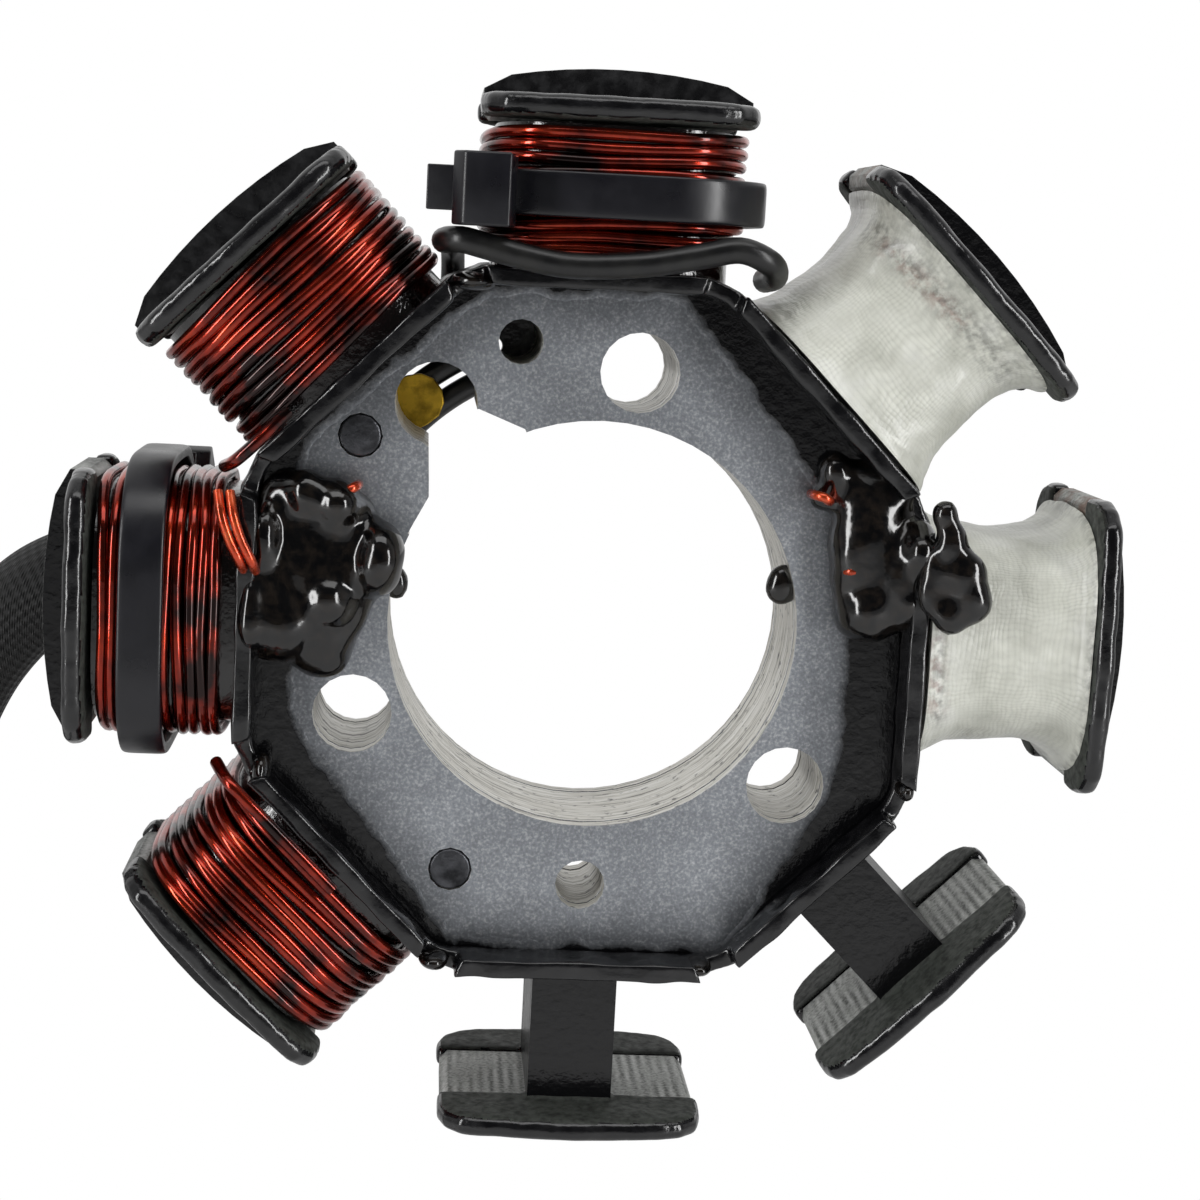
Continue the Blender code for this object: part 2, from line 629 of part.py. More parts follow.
def make_leads(plastic, copper):
    """Insulated leads across the rear face, the lead round the top coil and the crossover wires."""
    level, mouth = LEAD_LEVEL / MM, SLEEVE_LEVEL / MM
    inner = [(-27.1, mouth - 0.4, -1.6), (-26.2, mouth - 0.6, -1.6), (-23.6, mouth - 2.4, -1.0),
             (-21.6, level + 2.3, 1.2), (-20.8, level + 0.7, 4.2)]
    make_tube("rear_lead_inner", inner + around(21.4, 158, 113, level, 7), LEAD_RADIUS, plastic)
    middle = [(-27.1, mouth - 1.8, 1.4), (-26.2, mouth - 2.1, 1.6), (-24.6, mouth - 4.0, 3.0),
              (-23.6, level + 1.3, 5.2)]
    make_tube("rear_lead_middle", middle + around(23.9, 158, 113.5, level, 7), LEAD_RADIUS, plastic)
    front = (COIL_FRONT - FIT_GAP - LEAD_RADIUS) / MM
    crest = (TIE_TOP_RADIUS - TIE_WIDTH / 2 - LEAD_RADIUS - LEAD_CLEARANCE) / MM
    over = (FIT_GAP + GUARD_HEIGHT + FIT_GAP + LEAD_RADIUS) / MM + 0.4
    rear = [(-27.1, mouth + 0.9, 2.8), (-26.3, mouth + 0.7, 3.1), (-25.9, mouth - 0.8, 4.6),
            (-25.9, mouth - 3.4, 6.4), (-25.2, level + 1.1, 8.4)]
    rear += around(26.4, 158, 132, level, 3)
    rear += around(26.8, 124, 124, over - 1.4, 1) + around(29.0, 116.5, 116.5, over, 1)
    rear += around(33.2, 112.8, 112.8, over - 2.2, 1) + around(33.9, 113.4, 113.4, -4.0, 1)
    loop = [(-13.7, 5.0, 0.4), (-13.2, 1.2, 0.3), (-12.2, 0.0, 0.3), (-10.4, 0.0, 0.7), (-7.7, 0.0, 1.3),
            (-4.5, 0.0, 1.8), (-1.4, 0.0, 1.8), (2.6, 0.0, 1.4), (6.6, 0.0, 0.6), (9.7, 0.0, 0.0),
            (12.2, 0.8, 0.9), (13.1, 4.0, 1.9), (13.0, 9.0, 2.3)]
    loop = [(x, front + back, crest - drop) for x, back, drop in loop]
    make_tube("exciter_lead", rear + loop, LEAD_RADIUS, plastic)
    over = (min(FRONT - FIT_GAP - GUARD_HEIGHT, COIL_FRONT) - FIT_GAP - WIRE / 2) / MM
    make_tube("crossover_wire_upper", [(-30.6, over + 3.4, 12.2), (-29.6, over + 0.6, 12.9),
                                       (-28.4, over, 14.0), (-27.2, over, 15.2), (-26.2, over + 0.1, 16.3),
                                       (-25.4, over + 0.3, 17.1)], WIRE / 2, copper, stride=1.2)
    make_tube("crossover_wire_lower", [(-30.6, over + 3.4, -12.2), (-29.4, over + 0.5, -13.1),
                                       (-28.0, over, -14.4), (-26.0, over, -16.4), (-23.4, over, -19.0),
                                       (-20.6, over, -21.8)], WIRE / 2, copper, stride=1.2)


def make_harness(braid, plastic, shell):
    """Braided sleeve, the leads that leave it and the connector at their end."""
    depth = SLEEVE_LEVEL / MM
    end_x, end_z = SLEEVE_END
    make_tube("harness_sleeve", [(-28.0, depth, 0.4), (-32.0, depth, 0.5), (-38.0, depth, 0.2),
                                 (-44.0, depth, -0.6), (-49.6, depth, -3.2), (-54.2, depth, -8.2),
                                 (-57.4, depth, -14.6), (-59.4, depth, -22.0), (-60.6, depth, -32.0),
                                 (-61.2, depth, -44.0), (-61.4, depth, -56.0), (-61.2, depth, -68.0),
                                 (end_x, depth, end_z)], SLEEVE_RADIUS, braid, resolution=4, stride=0.6)
    width, thick, height = CONNECTOR
    pitch = LEAD_PITCH / MM
    top = end_z - TAIL_LENGTH / MM
    for i, side in enumerate((-0.5, 0.5), 1):
        for j, row in enumerate((-0.5, 0.5)):
            start = (end_x + side * 2.6, depth + row * 2.6, end_z - FIT_GAP / MM)
            end = (end_x + side * pitch, depth + row * pitch * 0.7, top + FIT_GAP / MM)
            low = (start[0], start[1], start[2] - 5.0)
            high = (end[0], end[1], end[2] + 6.0)
            middle = tuple((a + b) / 2 for a, b in zip(low, high))
            make_tube(f"tail_lead_{2 * i - 1 + j}", [start, low, middle, high, end], LEAD_RADIUS, plastic)
    shape = bmesh.new()
    block = bmesh.ops.create_cube(shape, size=1.0)["verts"]
    bmesh.ops.scale(shape, vec=CONNECTOR, verts=block)
    bmesh.ops.bevel(shape, geom=[e for e in shape.edges if abs(e.verts[0].co.z - e.verts[1].co.z) > thick],
                    offset=CONNECTOR_WALL / 2, offset_type="OFFSET", segments=1, profile=0.5,
                    affect="EDGES", material=-1)
    centre = Vector((end_x * MM, depth * MM, top * MM - height / 2))
    bmesh.ops.translate(shape, vec=centre, verts=shape.verts)
    made = add_object("connector_housing", shape, shell)
    pocket = bmesh.new()
    block = bmesh.ops.create_cube(pocket, size=1.0)["verts"]
    inside = (width - 2 * CONNECTOR_WALL, thick - 2 * CONNECTOR_WALL, 2 * (height - CONNECTOR_FLOOR))
    bmesh.ops.scale(pocket, vec=inside, verts=block)
    bmesh.ops.translate(pocket, vec=centre - Vector((0, 0, height / 2)), verts=block)
    combine(made, cutter("connector_pocket", pocket), "DIFFERENCE")
    latch = bmesh.new()
    block = bmesh.ops.create_cube(latch, size=1.0)["verts"]
    bmesh.ops.scale(latch, vec=(width * 0.35, CONNECTOR_WALL * 1.6, height * 0.55), verts=block)
    shift = Vector((0, -thick / 2 - CONNECTOR_WALL * 0.5, 0))
    bmesh.ops.translate(latch, vec=centre + shift, verts=block)
    combine(made, cutter("connector_latch", latch), "UNION")


def main():
    """Build the whole stator."""
    clear_scene()
    steel = finish_material("bare_steel", (0.20, 0.21, 0.21), 0.5, 0.9)
    enamel = finish_material("black_epoxy", (0.012, 0.012, 0.014), 0.2)
    rivet_steel = finish_material("rivet_steel", (0.10, 0.10, 0.11), 0.45, 0.9)
    copper = finish_material("enamelled_wire", (0.42, 0.06, 0.02), 0.18, 0.6)
    tape = finish_material("glass_tape", (0.72, 0.73, 0.68), 0.35)
    plastic = finish_material("lead_insulation", (0.02, 0.02, 0.022), 0.4)
    nylon = finish_material("black_nylon", (0.018, 0.018, 0.022), 0.35)
    resin = finish_material("black_resin", (0.006, 0.006, 0.008), 0.06)
    braid = finish_material("black_braid", (0.015, 0.015, 0.016), 0.6)
    brass = finish_material("brass", (0.62, 0.42, 0.10), 0.35, 1.0)
    shell = finish_material("connector_nylon", (0.03, 0.03, 0.032), 0.4)
    make_core(steel, enamel, rivet_steel)
    make_guard("front_coil_guard", FRONT, -1, enamel)
    make_guard("rear_coil_guard", 0.0, 1, enamel)
    for place, degrees in OPEN_COILS.items():
        make_open_coil(f"coil_{place}", degrees, copper)
    for place, degrees in EXCITER_COILS.items():
        make_exciter_coil(place, degrees, copper, tape)
    make_tie("cable_tie_top", OPEN_COILS["top"], TIE_TOP_RADIUS, [], 262, 1, nylon)
    sleeve = (0.2 * MM, SLEEVE_LEVEL, SLEEVE_RADIUS)
    make_tie("cable_tie_left", OPEN_COILS["left"], TIE_SIDE_RADIUS, [sleeve], 31, 1, nylon)
    make_beads(resin)
    make_tag(brass)
    make_leads(plastic, copper)
    make_harness(braid, plastic, shell)


main()
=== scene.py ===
"""Looks of a small engine's wound stator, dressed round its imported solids.

The stator's axis is Y and its front looks along -Y. Angles turn from +X towards +Z.
Sizes are in millimetres where a name ends in _mm or a comment says so.
"""

from __future__ import annotations

import logging
import math
from dataclasses import dataclass
from enum import Enum
from typing import Any, Callable, Iterable, Sequence

import bmesh
import bpy
from mathutils import Matrix, Vector, noise


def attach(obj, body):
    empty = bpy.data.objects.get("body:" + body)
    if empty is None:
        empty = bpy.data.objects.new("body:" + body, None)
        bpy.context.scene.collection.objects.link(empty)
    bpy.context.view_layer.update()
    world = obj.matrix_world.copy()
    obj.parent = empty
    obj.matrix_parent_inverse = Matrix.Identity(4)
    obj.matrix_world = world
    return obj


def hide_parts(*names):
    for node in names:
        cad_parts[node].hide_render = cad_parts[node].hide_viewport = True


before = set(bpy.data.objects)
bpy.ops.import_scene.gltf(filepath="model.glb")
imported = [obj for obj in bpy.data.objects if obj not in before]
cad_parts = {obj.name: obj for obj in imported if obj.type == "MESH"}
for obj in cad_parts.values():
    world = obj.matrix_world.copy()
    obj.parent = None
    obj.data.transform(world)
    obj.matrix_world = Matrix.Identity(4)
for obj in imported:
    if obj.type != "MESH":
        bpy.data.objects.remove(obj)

Material, Object, Socket = bpy.types.Material, bpy.types.Object, bpy.types.NodeSocket
Shape = bmesh.types.BMesh

LOG = logging.getLogger("stator")
MM = 0.001
MIDDLE_MM = -7.0  # the core's middle along Y
GAP_MM = 0.3  # fit between neighbours
GUARD_MM = 4.0  # height of a guard
SOFT = 0.55  # how rough every noise pattern is
FLOOR_MM = 14.02  # front face that the resin sits on
BODY = "root"
NODES: dict[str, Object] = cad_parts


class Slot(Enum):
    """Material slots of the record."""

    STEEL = "bare_steel"
    EPOXY = "black_epoxy"
    RIVET = "rivet_steel"
    WIRE = "enamelled_wire"
    TAPE = "glass_tape"
    LEAD = "lead_insulation"
    NYLON = "black_nylon"
    RESIN = "black_resin"
    BRAID = "black_braid"
    BRASS = "brass"
    SHELL = "connector_nylon"


def linear(code: str) -> tuple[float, float, float, float]:
    """Turn an sRGB hex colour into linear values.

    Args:
        code: six hex digits after a #.

    Returns:
        Red, green, blue and an alpha of one.
    """
    parts = [int(code[i : i + 2], 16) / 255 for i in (1, 3, 5)]
    flat = [c / 12.92 if c <= 0.04045 else ((c + 0.055) / 1.055) ** 2.4 for c in parts]
    return flat[0], flat[1], flat[2], 1.0


def blend(one: str, two: str, share: float) -> tuple[float, float, float, float]:
    """Linear colour part of the way from one hex colour to another."""
    a, b = linear(one), linear(two)
    return (*(x + (y - x) * share for x, y in zip(a[:3], b[:3])), 1.0)


class Tree:
    """A node tree that nodes are added to."""

    def __init__(self, tree: bpy.types.NodeTree) -> None:
        """Take over a tree."""
        self.tree = tree

    def add(self, kind: str, *inputs: Any, out: int | str | None = 0,
            stops: Sequence[tuple[float, Any]] = (), **settings: Any) -> Any:
        """Add a node with its settings, its inputs' values and its links.

        Args:
            kind: the node's type without its ShaderNode prefix.
            inputs: values and sockets in the node's own order, or one dict by name or number.
            out: the output to hand back, or None for all of them.
            stops: positions of a colour ramp, with grey levels or linear colours.
            settings: properties of the node itself.

        Returns:
            The output or outputs.
        """
        made = self.tree.nodes.new(f"ShaderNode{kind}")
        for name, value in settings.items():
            setattr(made, name, value)
        given = inputs[0] if inputs and isinstance(inputs[0], dict) else dict(enumerate(inputs))
        for key, value in given.items():
            if isinstance(value, Socket):
                self.tree.links.new(value, made.inputs[key])
            else:
                made.inputs[key].default_value = value
        if stops:
            band = made.color_ramp.elements
            while len(band) < len(stops):
                band.new(0.5)
            for element, (place, level) in zip(band, stops):
                element.position = place
                element.color = level if isinstance(level, tuple) else (level, level, level, 1.0)
        return made.outputs if out is None else made.outputs[out]


@dataclass(frozen=True)
class Finish:
    """A finish with fine unevenness in its colour, gloss and surface."""

    name: str
    colour: str
    roughness: float
    metallic: float = 0.0
    coat: float = 0.0
    coat_roughness: float = 0.05
    grain_mm: float = 1.0
    relief_mm: float = 0.0
    mottle_colour: str = "#000000"
    mottle: float = 0.0
    mottle_mm: float = 4.0
    specular: float = 0.5

    def make(self) -> Material:
        """Build the material.

        Returns:
            The new material.
        """
        made = bpy.data.materials.new(self.name)
        made.use_nodes = True
        shader = made.node_tree.nodes["Principled BSDF"]
        for socket, value in (("Metallic", self.metallic), ("Coat Weight", self.coat),
                              ("Coat Roughness", self.coat_roughness), ("Specular IOR Level", self.specular)):
            shader.inputs[socket].default_value = value
        tree = Tree(made.node_tree)
        self.paint(tree, shader, tree.add("TexCoord", out="Object"))
        return made

    def paint(self, tree: Tree, shader: bpy.types.Node, place: Socket) -> None:
        """Feed the shader's colour, roughness and normal.

        Args:
            tree: the material's tree.
            shader: its Principled node.
            place: Object coordinates.
        """
        patch = tree.add("TexNoise",
                         {"Vector": place, "Scale": 1 / (self.mottle_mm * MM), "Detail": 4.0,
                          "Roughness": SOFT})
        tone = tree.add("ValToRGB", patch,
                        stops=[(0.42, linear(self.colour)),
                               (0.68, blend(self.colour, self.mottle_colour, self.mottle))])
        gloss = tree.add("ValToRGB", patch,
                         stops=[(0.3, self.roughness * 0.85), (0.7, min(1.0, self.roughness * 1.2))])
        self.apply(tree, shader, tone, gloss,
                   tree.add("TexNoise",
                            {"Vector": place, "Scale": 1 / (self.grain_mm * MM), "Detail": 3.0,
                             "Roughness": SOFT}))

    def apply(self, tree: Tree, shader: bpy.types.Node, tone: Socket, gloss: Socket,
              height: Socket) -> None:
        """Link colour, roughness and a bump of this finish's real height."""
        tree.tree.links.new(tone, shader.inputs["Base Color"])
        tree.tree.links.new(gloss, shader.inputs["Roughness"])
        if self.relief_mm > 0:
            bump = tree.add("Bump", {"Distance": self.relief_mm * MM, "Strength": 1.0, "Height": height})
            tree.tree.links.new(bump, shader.inputs["Normal"])


@dataclass(frozen=True)
class MaskedSteel(Finish):
    """Pressed sheet steel under black powder epoxy, kept bare inside an octagonal mask.

    Inside the mask the phosphated sheet is satin grey with a fine sandy sparkle. The
    epoxy outside it is fused and glossy, with a soft, uneven edge.
    """

    bare: str = "#a6aab0"
    zone: tuple[tuple[float, float], ...] = ()

    def paint(self, tree: Tree, shader: bpy.types.Node, place: Socket) -> None:
        """Mix bare steel and epoxy by the distance from the sides of the mask."""
        axes = tree.add("SeparateXYZ", {0: place}, out=None)
        reach: Any = None
        for degrees, limit_mm in self.zone:
            turn = math.radians(degrees)
            side = tree.add("Math", tree.add("Math", axes["X"], math.cos(turn) / MM, operation="MULTIPLY"),
                            tree.add("Math", axes["Z"], math.sin(turn) / MM, operation="MULTIPLY"),
                            operation="ADD")
            side = tree.add("Math", side, limit_mm, operation="SUBTRACT")
            reach = side if reach is None else tree.add("Math", reach, side, 1.2, operation="SMOOTH_MAX")
        wander = tree.add("Math",
                          tree.add("Math",
                                   tree.add("TexNoise",
                                            {"Vector": place, "Scale": 1 / (3.0 * MM), "Detail": 5.0,
                                             "Roughness": SOFT}), 0.5, operation="SUBTRACT"), 2.2,
                          operation="MULTIPLY")
        inside = tree.add("Math", reach, wander, operation="ADD")
        mask = tree.add("MapRange", inside, -0.35, 0.45)
        dusk = tree.add("MapRange", inside, -4.5, 0.0, 1.0, 0.55)
        sand = tree.add("TexNoise",
                        {"Vector": place, "Scale": 1 / (0.24 * MM), "Detail": 2.0, "Roughness": SOFT})
        metal = tree.add("ValToRGB", sand,
                         stops=[(0.3, blend(self.bare, "#000000", 0.22)), (0.52, linear(self.bare)),
                                (0.74, blend(self.bare, "#ffffff", 0.4))])
        worn = tree.add("ValToRGB",
                        tree.add("TexNoise",
                                 {"Vector": place, "Scale": 1 / (7.0 * MM), "Detail": 6.0,
                                  "Roughness": SOFT}), stops=[(0.3, 0.74), (0.7, 1.0)])
        metal = tree.add("Mix",
                         {0: 1.0,
                          6: tree.add("Mix", {0: 1.0, 6: metal, 7: worn}, out=2, data_type="RGBA",
                                      blend_type="MULTIPLY"), 7: dusk}, out=2, data_type="RGBA",
                         blend_type="MULTIPLY")
        tone = tree.add("Mix", {0: mask, 6: metal, 7: linear(self.colour)}, out=2, data_type="RGBA")
        gloss = tree.add("MapRange", mask, 0.0, 1.0, 0.42, self.roughness)
        tree.tree.links.new(tree.add("MapRange", mask, 0.0, 1.0, 0.85, 0.0), shader.inputs["Metallic"])
        lumps = tree.add("Math",
                         tree.add("TexNoise",
                                  {"Vector": place, "Scale": 1 / (self.grain_mm * MM), "Detail": 3.0,
                                   "Roughness": SOFT}), mask, operation="MULTIPLY")
        grit = tree.add("Math", sand, tree.add("MapRange", mask, 0.0, 1.0, 0.2, 0.0), operation="MULTIPLY")
        height = tree.add("Math", tree.add("Math", lumps, grit, operation="ADD"),
                          tree.add("Math", mask, 2.0, operation="MULTIPLY"), operation="ADD")
        self.apply(tree, shader, tone, gloss, height)


@dataclass(frozen=True)
class CutSheets(Finish):
    """Punched and reamed edges of the steel sheets: pale, warm, with fine rings round the axis."""

    def paint(self, tree: Tree, shader: bpy.types.Node, place: Socket) -> None:
        """Draw the rings at steps of the sheets' 0.5 mm along the axis, with dark specks."""
        rings = tree.add("TexNoise",
                         {"Vector": tree.add("Mapping", {"Vector": place, "Scale": (0.06, 1.0, 0.06)}),
                          "Scale": 1 / (0.5 * MM), "Detail": 2.0, "Roughness": SOFT})
        fine = tree.add("TexNoise",
                        {"Vector": tree.add("Mapping", {"Vector": place, "Scale": (0.1, 1.0, 0.1)}),
                         "Scale": 1 / (0.14 * MM), "Detail": 1.0, "Roughness": SOFT})
        both = tree.add("Math", tree.add("Math", rings, 0.7, operation="MULTIPLY"),
                        tree.add("Math", fine, 0.3, operation="MULTIPLY"), operation="ADD")
        tone = tree.add("ValToRGB", both,
                        stops=[(0.34, blend(self.colour, "#1c1a17", 0.8)), (0.46, linear(self.colour)),
                               (0.66, blend(self.colour, "#ffffff", 0.5))])
        specks = tree.add("ValToRGB",
                          tree.add("TexNoise",
                                   {"Vector": place, "Scale": 1 / (0.9 * MM), "Detail": 4.0,
                                    "Roughness": SOFT}), stops=[(0.3, 0.12), (0.4, 1.0)])
        self.apply(tree, shader,
                   tree.add("Mix", {0: 1.0, 6: tone, 7: specks}, out=2, data_type="RGBA",
                            blend_type="MULTIPLY"),
                   tree.add("ValToRGB", both, stops=[(0.3, self.roughness * 1.3), (0.7, self.roughness)]),
                   both)


@dataclass(frozen=True)
class CombedShoe(Finish):
    """Bare sides of a pole shoe: ground grey steel with punching streaks along the stack."""

    def paint(self, tree: Tree, shader: bpy.types.Node, place: Socket) -> None:
        """Draw streaks 0.9 mm apart across the shoe, and rust on the taped poles."""
        across = tree.add("Attribute", attribute_name="across", out="Fac")
        wave = tree.add("Math", tree.add("Math", across, 2 * math.pi / 0.9, operation="MULTIPLY"),
                        operation="SINE")
        fade = tree.add("ValToRGB",
                        tree.add("TexNoise",
                                 {"Vector": tree.add("Mapping", {"Vector": place, "Scale": (1.0, 0.4, 1.0)}),
                                  "Scale": 1 / (2.4 * MM), "Detail": 3.0, "Roughness": SOFT}),
                        stops=[(0.35, 0.0), (0.6, 1.0)])
        comb = tree.add("Math", tree.add("Math", wave, 0.5, operation="MULTIPLY"), fade, operation="MULTIPLY")
        grain = tree.add("TexNoise",
                         {"Vector": place, "Scale": 1 / (0.3 * MM), "Detail": 3.0, "Roughness": SOFT})
        level = tree.add("Math", tree.add("Math", comb, 0.26, operation="MULTIPLY"),
                         tree.add("Math", tree.add("Math", grain, 0.5, operation="MULTIPLY"), 0.25,
                                  operation="ADD"), operation="ADD")
        tone = tree.add("ValToRGB", level,
                        stops=[(0.34, blend(self.colour, "#050505", 0.7)), (0.5, linear(self.colour)),
                               (0.72, blend(self.colour, "#ffffff", 0.4))])
        axes = tree.add("SeparateXYZ", {0: place}, out=None)
        taped = tree.add("MapRange",
                         tree.add("Math", axes["X"], tree.add("Math", axes["Z"], 0.6, operation="MULTIPLY"),
                                  operation="ADD"), 0.04, 0.047)
        rust = tree.add("Math", taped,
                        tree.add("ValToRGB",
                                 tree.add("TexNoise",
                                          {"Vector": place, "Scale": 1 / (3.0 * MM), "Detail": 5.0,
                                           "Roughness": SOFT}), stops=[(0.42, 0.0), (0.62, 0.75)]),
                        operation="MULTIPLY")
        tone = tree.add("Mix", {0: rust, 6: tone, 7: linear(self.mottle_colour)}, out=2, data_type="RGBA")
        self.apply(tree, shader, tone,
                   tree.add("ValToRGB", grain,
                            stops=[(0.3, self.roughness * 1.2), (0.7, self.roughness * 0.85)]), level)


@dataclass(frozen=True)
class ClothFinish(Finish):
    """Woven glass cloth tape, soaked in clear varnish: off-white threads, slightly yellow."""

    thread_mm: float = 0.42

    def paint(self, tree: Tree, shader: bpy.types.Node, place: Socket) -> None:
        """Weave threads on the UV map, which is in millimetres, stain the cloth brown along streaks, and darken it
        along other streaks and towards its outer end.

        The real thread is 0.2 mm; it is drawn twice as coarse so that it shows.
        """
        cloth = tree.add("TexCoord", out="UV")
        drift = tree.add("TexNoise", {"Scale": 0.3, "Detail": 2.0, "Vector": cloth}, out="Color")
        bent = tree.add("VectorMath", {1: (1.6, 1.6, 0.0), 0: drift}, operation="MULTIPLY")
        axes = tree.add("SeparateXYZ", {0: tree.add("VectorMath", {0: cloth, 1: bent})}, out=None)
        waves = [tree.add("Math",
                          tree.add("Math",
                                   tree.add("Math", axes[axis], math.pi / self.thread_mm,
                                            operation="MULTIPLY"), operation="SINE"),
                          operation="ABSOLUTE") for axis in ("X", "Y")]
        weave = tree.add("Math", tree.add("Math", *waves, operation="ADD"), 0.5, operation="MULTIPLY")
        seen = tree.add("ValToRGB",
                        tree.add("TexNoise",
                                 {"Vector": place, "Scale": 1 / (3.5 * MM), "Detail": 3.0,
                                  "Roughness": SOFT}), stops=[(0.35, 0.25), (0.65, 1.0)])
        weave = tree.add("Math", weave, seen, operation="MULTIPLY")
        patch = tree.add("TexNoise",
                         {"Vector": place, "Scale": 1 / (self.mottle_mm * MM), "Detail": 6.0,
                          "Roughness": SOFT})
        pale = tree.add("ValToRGB", patch,
                        stops=[(0.32, blend(self.colour, self.mottle_colour, self.mottle)),
                               (0.55, linear(self.colour)), (0.8, blend(self.colour, "#ffffff", 0.35))])
        threads = tree.add("ValToRGB", weave, stops=[(0.0, 0.82), (0.8, 1.0)])
        pale = tree.add("Mix", {0: 1.0, 6: pale, 7: threads}, out=2, data_type="RGBA", blend_type="MULTIPLY")
        marks = tree.add("SeparateColor", {0: tree.add("VertexColor", layer_name="stain", out="Color")},
                         out=None)
        fray = tree.add("ValToRGB",
                        tree.add("TexNoise",
                                 {"Vector": place, "Scale": 1 / (0.8 * MM), "Detail": 6.0,
                                  "Roughness": SOFT}), stops=[(0.42, 0.0), (0.6, 0.85)])
        rust = tree.add("Math", marks[0], fray, operation="MULTIPLY")
        # Channel two darkens the cloth along its streaks and towards its outer end, by the shoe.
        darkening = tree.add("Math", marks[1],
                        tree.add("ValToRGB",
                                 tree.add("TexNoise",
                                          {"Vector": place, "Scale": 1 / (0.7 * MM), "Detail": 6.0,
                                           "Roughness": SOFT}), stops=[(0.4, 0.0), (0.62, 0.9)]),
                        operation="MULTIPLY")
        tone = tree.add("Mix",
                        {0: darkening,
                         6: tree.add("Mix", {0: rust, 6: pale, 7: linear("#6e3424")}, out=2,
                                     data_type="RGBA"), 7: linear("#26241f")}, out=2, data_type="RGBA")
        gloss = tree.add("ValToRGB", patch, stops=[(0.3, self.roughness * 0.7), (0.7, self.roughness * 1.3)])
        height = tree.add("Math", tree.add("Math", weave, 0.3, operation="MULTIPLY"),
                          tree.add("TexNoise",
                                   {"Vector": place, "Scale": 1 / (1.6 * MM), "Detail": 5.0,
                                    "Roughness": SOFT}), operation="ADD")
        self.apply(tree, shader, tone, gloss, height)


@dataclass(frozen=True)
class BraidFinish(Finish):
    """Plaited polyester sleeve: flat black strands, two over two, with a dull sheen."""

    strand_mm: float = 0.8

    def paint(self, tree: Tree, shader: bpy.types.Node, place: Socket) -> None:
        """Plait the strands on the UV map, which is in millimetres."""
        axes = tree.add("SeparateXYZ", {0: tree.add("TexCoord", out="UV")}, out=None)
        turn = math.pi / self.strand_mm
        one = tree.add("Math",
                       tree.add("Math", tree.add("Math", axes["X"], axes["Y"], operation="ADD"), turn,
                                operation="MULTIPLY"), operation="SINE")
        two = tree.add("Math",
                       tree.add("Math", tree.add("Math", axes["X"], axes["Y"], operation="SUBTRACT"), turn,
                                operation="MULTIPLY"), operation="SINE")
        checks = tree.add("Math", one, two, operation="MULTIPLY")
        fine = tree.add("Math",
                        tree.add("Math", tree.add("Math", axes["X"], axes["Y"], operation="ADD"), turn * 5,
                                 operation="MULTIPLY"), operation="SINE")
        height = tree.add("Math", tree.add("Math", checks, 0.5, operation="MULTIPLY"),
                          tree.add("Math", fine, 0.1, operation="MULTIPLY"), operation="ADD")
        tone = tree.add("ValToRGB", tree.add("Math", height, 0.5, operation="ADD"),
                        stops=[(0.2, linear("#040404")), (0.8, linear(self.colour))])
        self.apply(tree, shader, tone,
                   tree.add("ValToRGB", checks, stops=[(0.2, self.roughness * 1.3), (0.8, self.roughness)]),
                   height)


@dataclass(frozen=True)
class WireFinish(Finish):
    """Magnet wire: drawn copper under clear red enamel, darkened by the varnish dip."""

    deep: str = "#1c0503"

    def paint(self, tree: Tree, shader: bpy.types.Node, place: Socket) -> None:
        """Vary the depth of enamel and varnish along the wires."""
        patch = tree.add("TexNoise",
                         {"Vector": place, "Scale": 1 / (self.mottle_mm * MM), "Detail": 4.0,
                          "Roughness": SOFT})
        tone = tree.add("ValToRGB", patch,
                        stops=[(0.38, linear(self.deep)), (0.54, linear(self.colour)),
                               (0.75, blend(self.colour, self.mottle_colour, self.mottle))])
        gloss = tree.add("ValToRGB",
                         tree.add("TexNoise",
                                  {"Vector": place, "Scale": 1 / (1.4 * MM), "Detail": 3.0,
                                   "Roughness": SOFT}),
                         stops=[(0.3, self.roughness * 0.7), (0.7, self.roughness * 1.4)])
        self.apply(tree, shader, tone, gloss,
                   tree.add("TexNoise",
                            {"Vector": place, "Scale": 1 / (self.grain_mm * MM), "Detail": 3.0,
                             "Roughness": SOFT}))


# Sides of the mask's octagon: the angle of each and its distance from the axis, in mm.
MASK = ((90.0, 27.4), (39.0, 21.9), (0.0, 21.2), (-30.0, 24.6), (-90.0, 27.3), (217.2, 25.1), (180.0, 24.7),
        (132.2, 26.9))
# Sheet sprayed with powder over a mask: satin sandy grey inside, wet black gloss outside.
PLATE_FINISH = MaskedSteel("powder_epoxy_on_sheet", "#08080a", 0.17, zone=MASK, grain_mm=0.8, relief_mm=0.06)
# Thick fused powder: black with long soft highlights that wander like orange peel.
COAT_FINISH = Finish("powder_epoxy", "#08080a", 0.2, coat=0.25, coat_roughness=0.1, grain_mm=1.1,
                     relief_mm=0.07, mottle_colour="#4a4a4c", mottle=0.1, mottle_mm=1.4)
# The same powder where it is thin: duller, and the sheet's grain shows.
ARM_FINISH = Finish("thin_powder_epoxy", "#0b0b0d", 0.3, grain_mm=0.5, relief_mm=0.03,
                    mottle_colour="#5a5a5c", mottle=0.15, mottle_mm=1.0)
# Reamed edges of the stack: pale warm metal with fine rings, sheet by sheet.
CUT_FINISH = CutSheets("reamed_sheet_edges", "#c2bfb6", 0.34, 0.6, relief_mm=0.09)
# Punched shoe sides: grey with a comb of streaks, and brown rust by the tapes.
SHOE_FINISH = CombedShoe("punched_shoe", "#9b9d99", 0.5, 0.4, relief_mm=0.05, mottle_colour="#6a4632")
# Pressed rivet heads: dark dull steel with blotches.
RIVET_FINISH = Finish("rivet_steel", "#55565a", 0.38, 0.85, grain_mm=0.6, relief_mm=0.08, mottle=0.75,
                      mottle_mm=1.6)
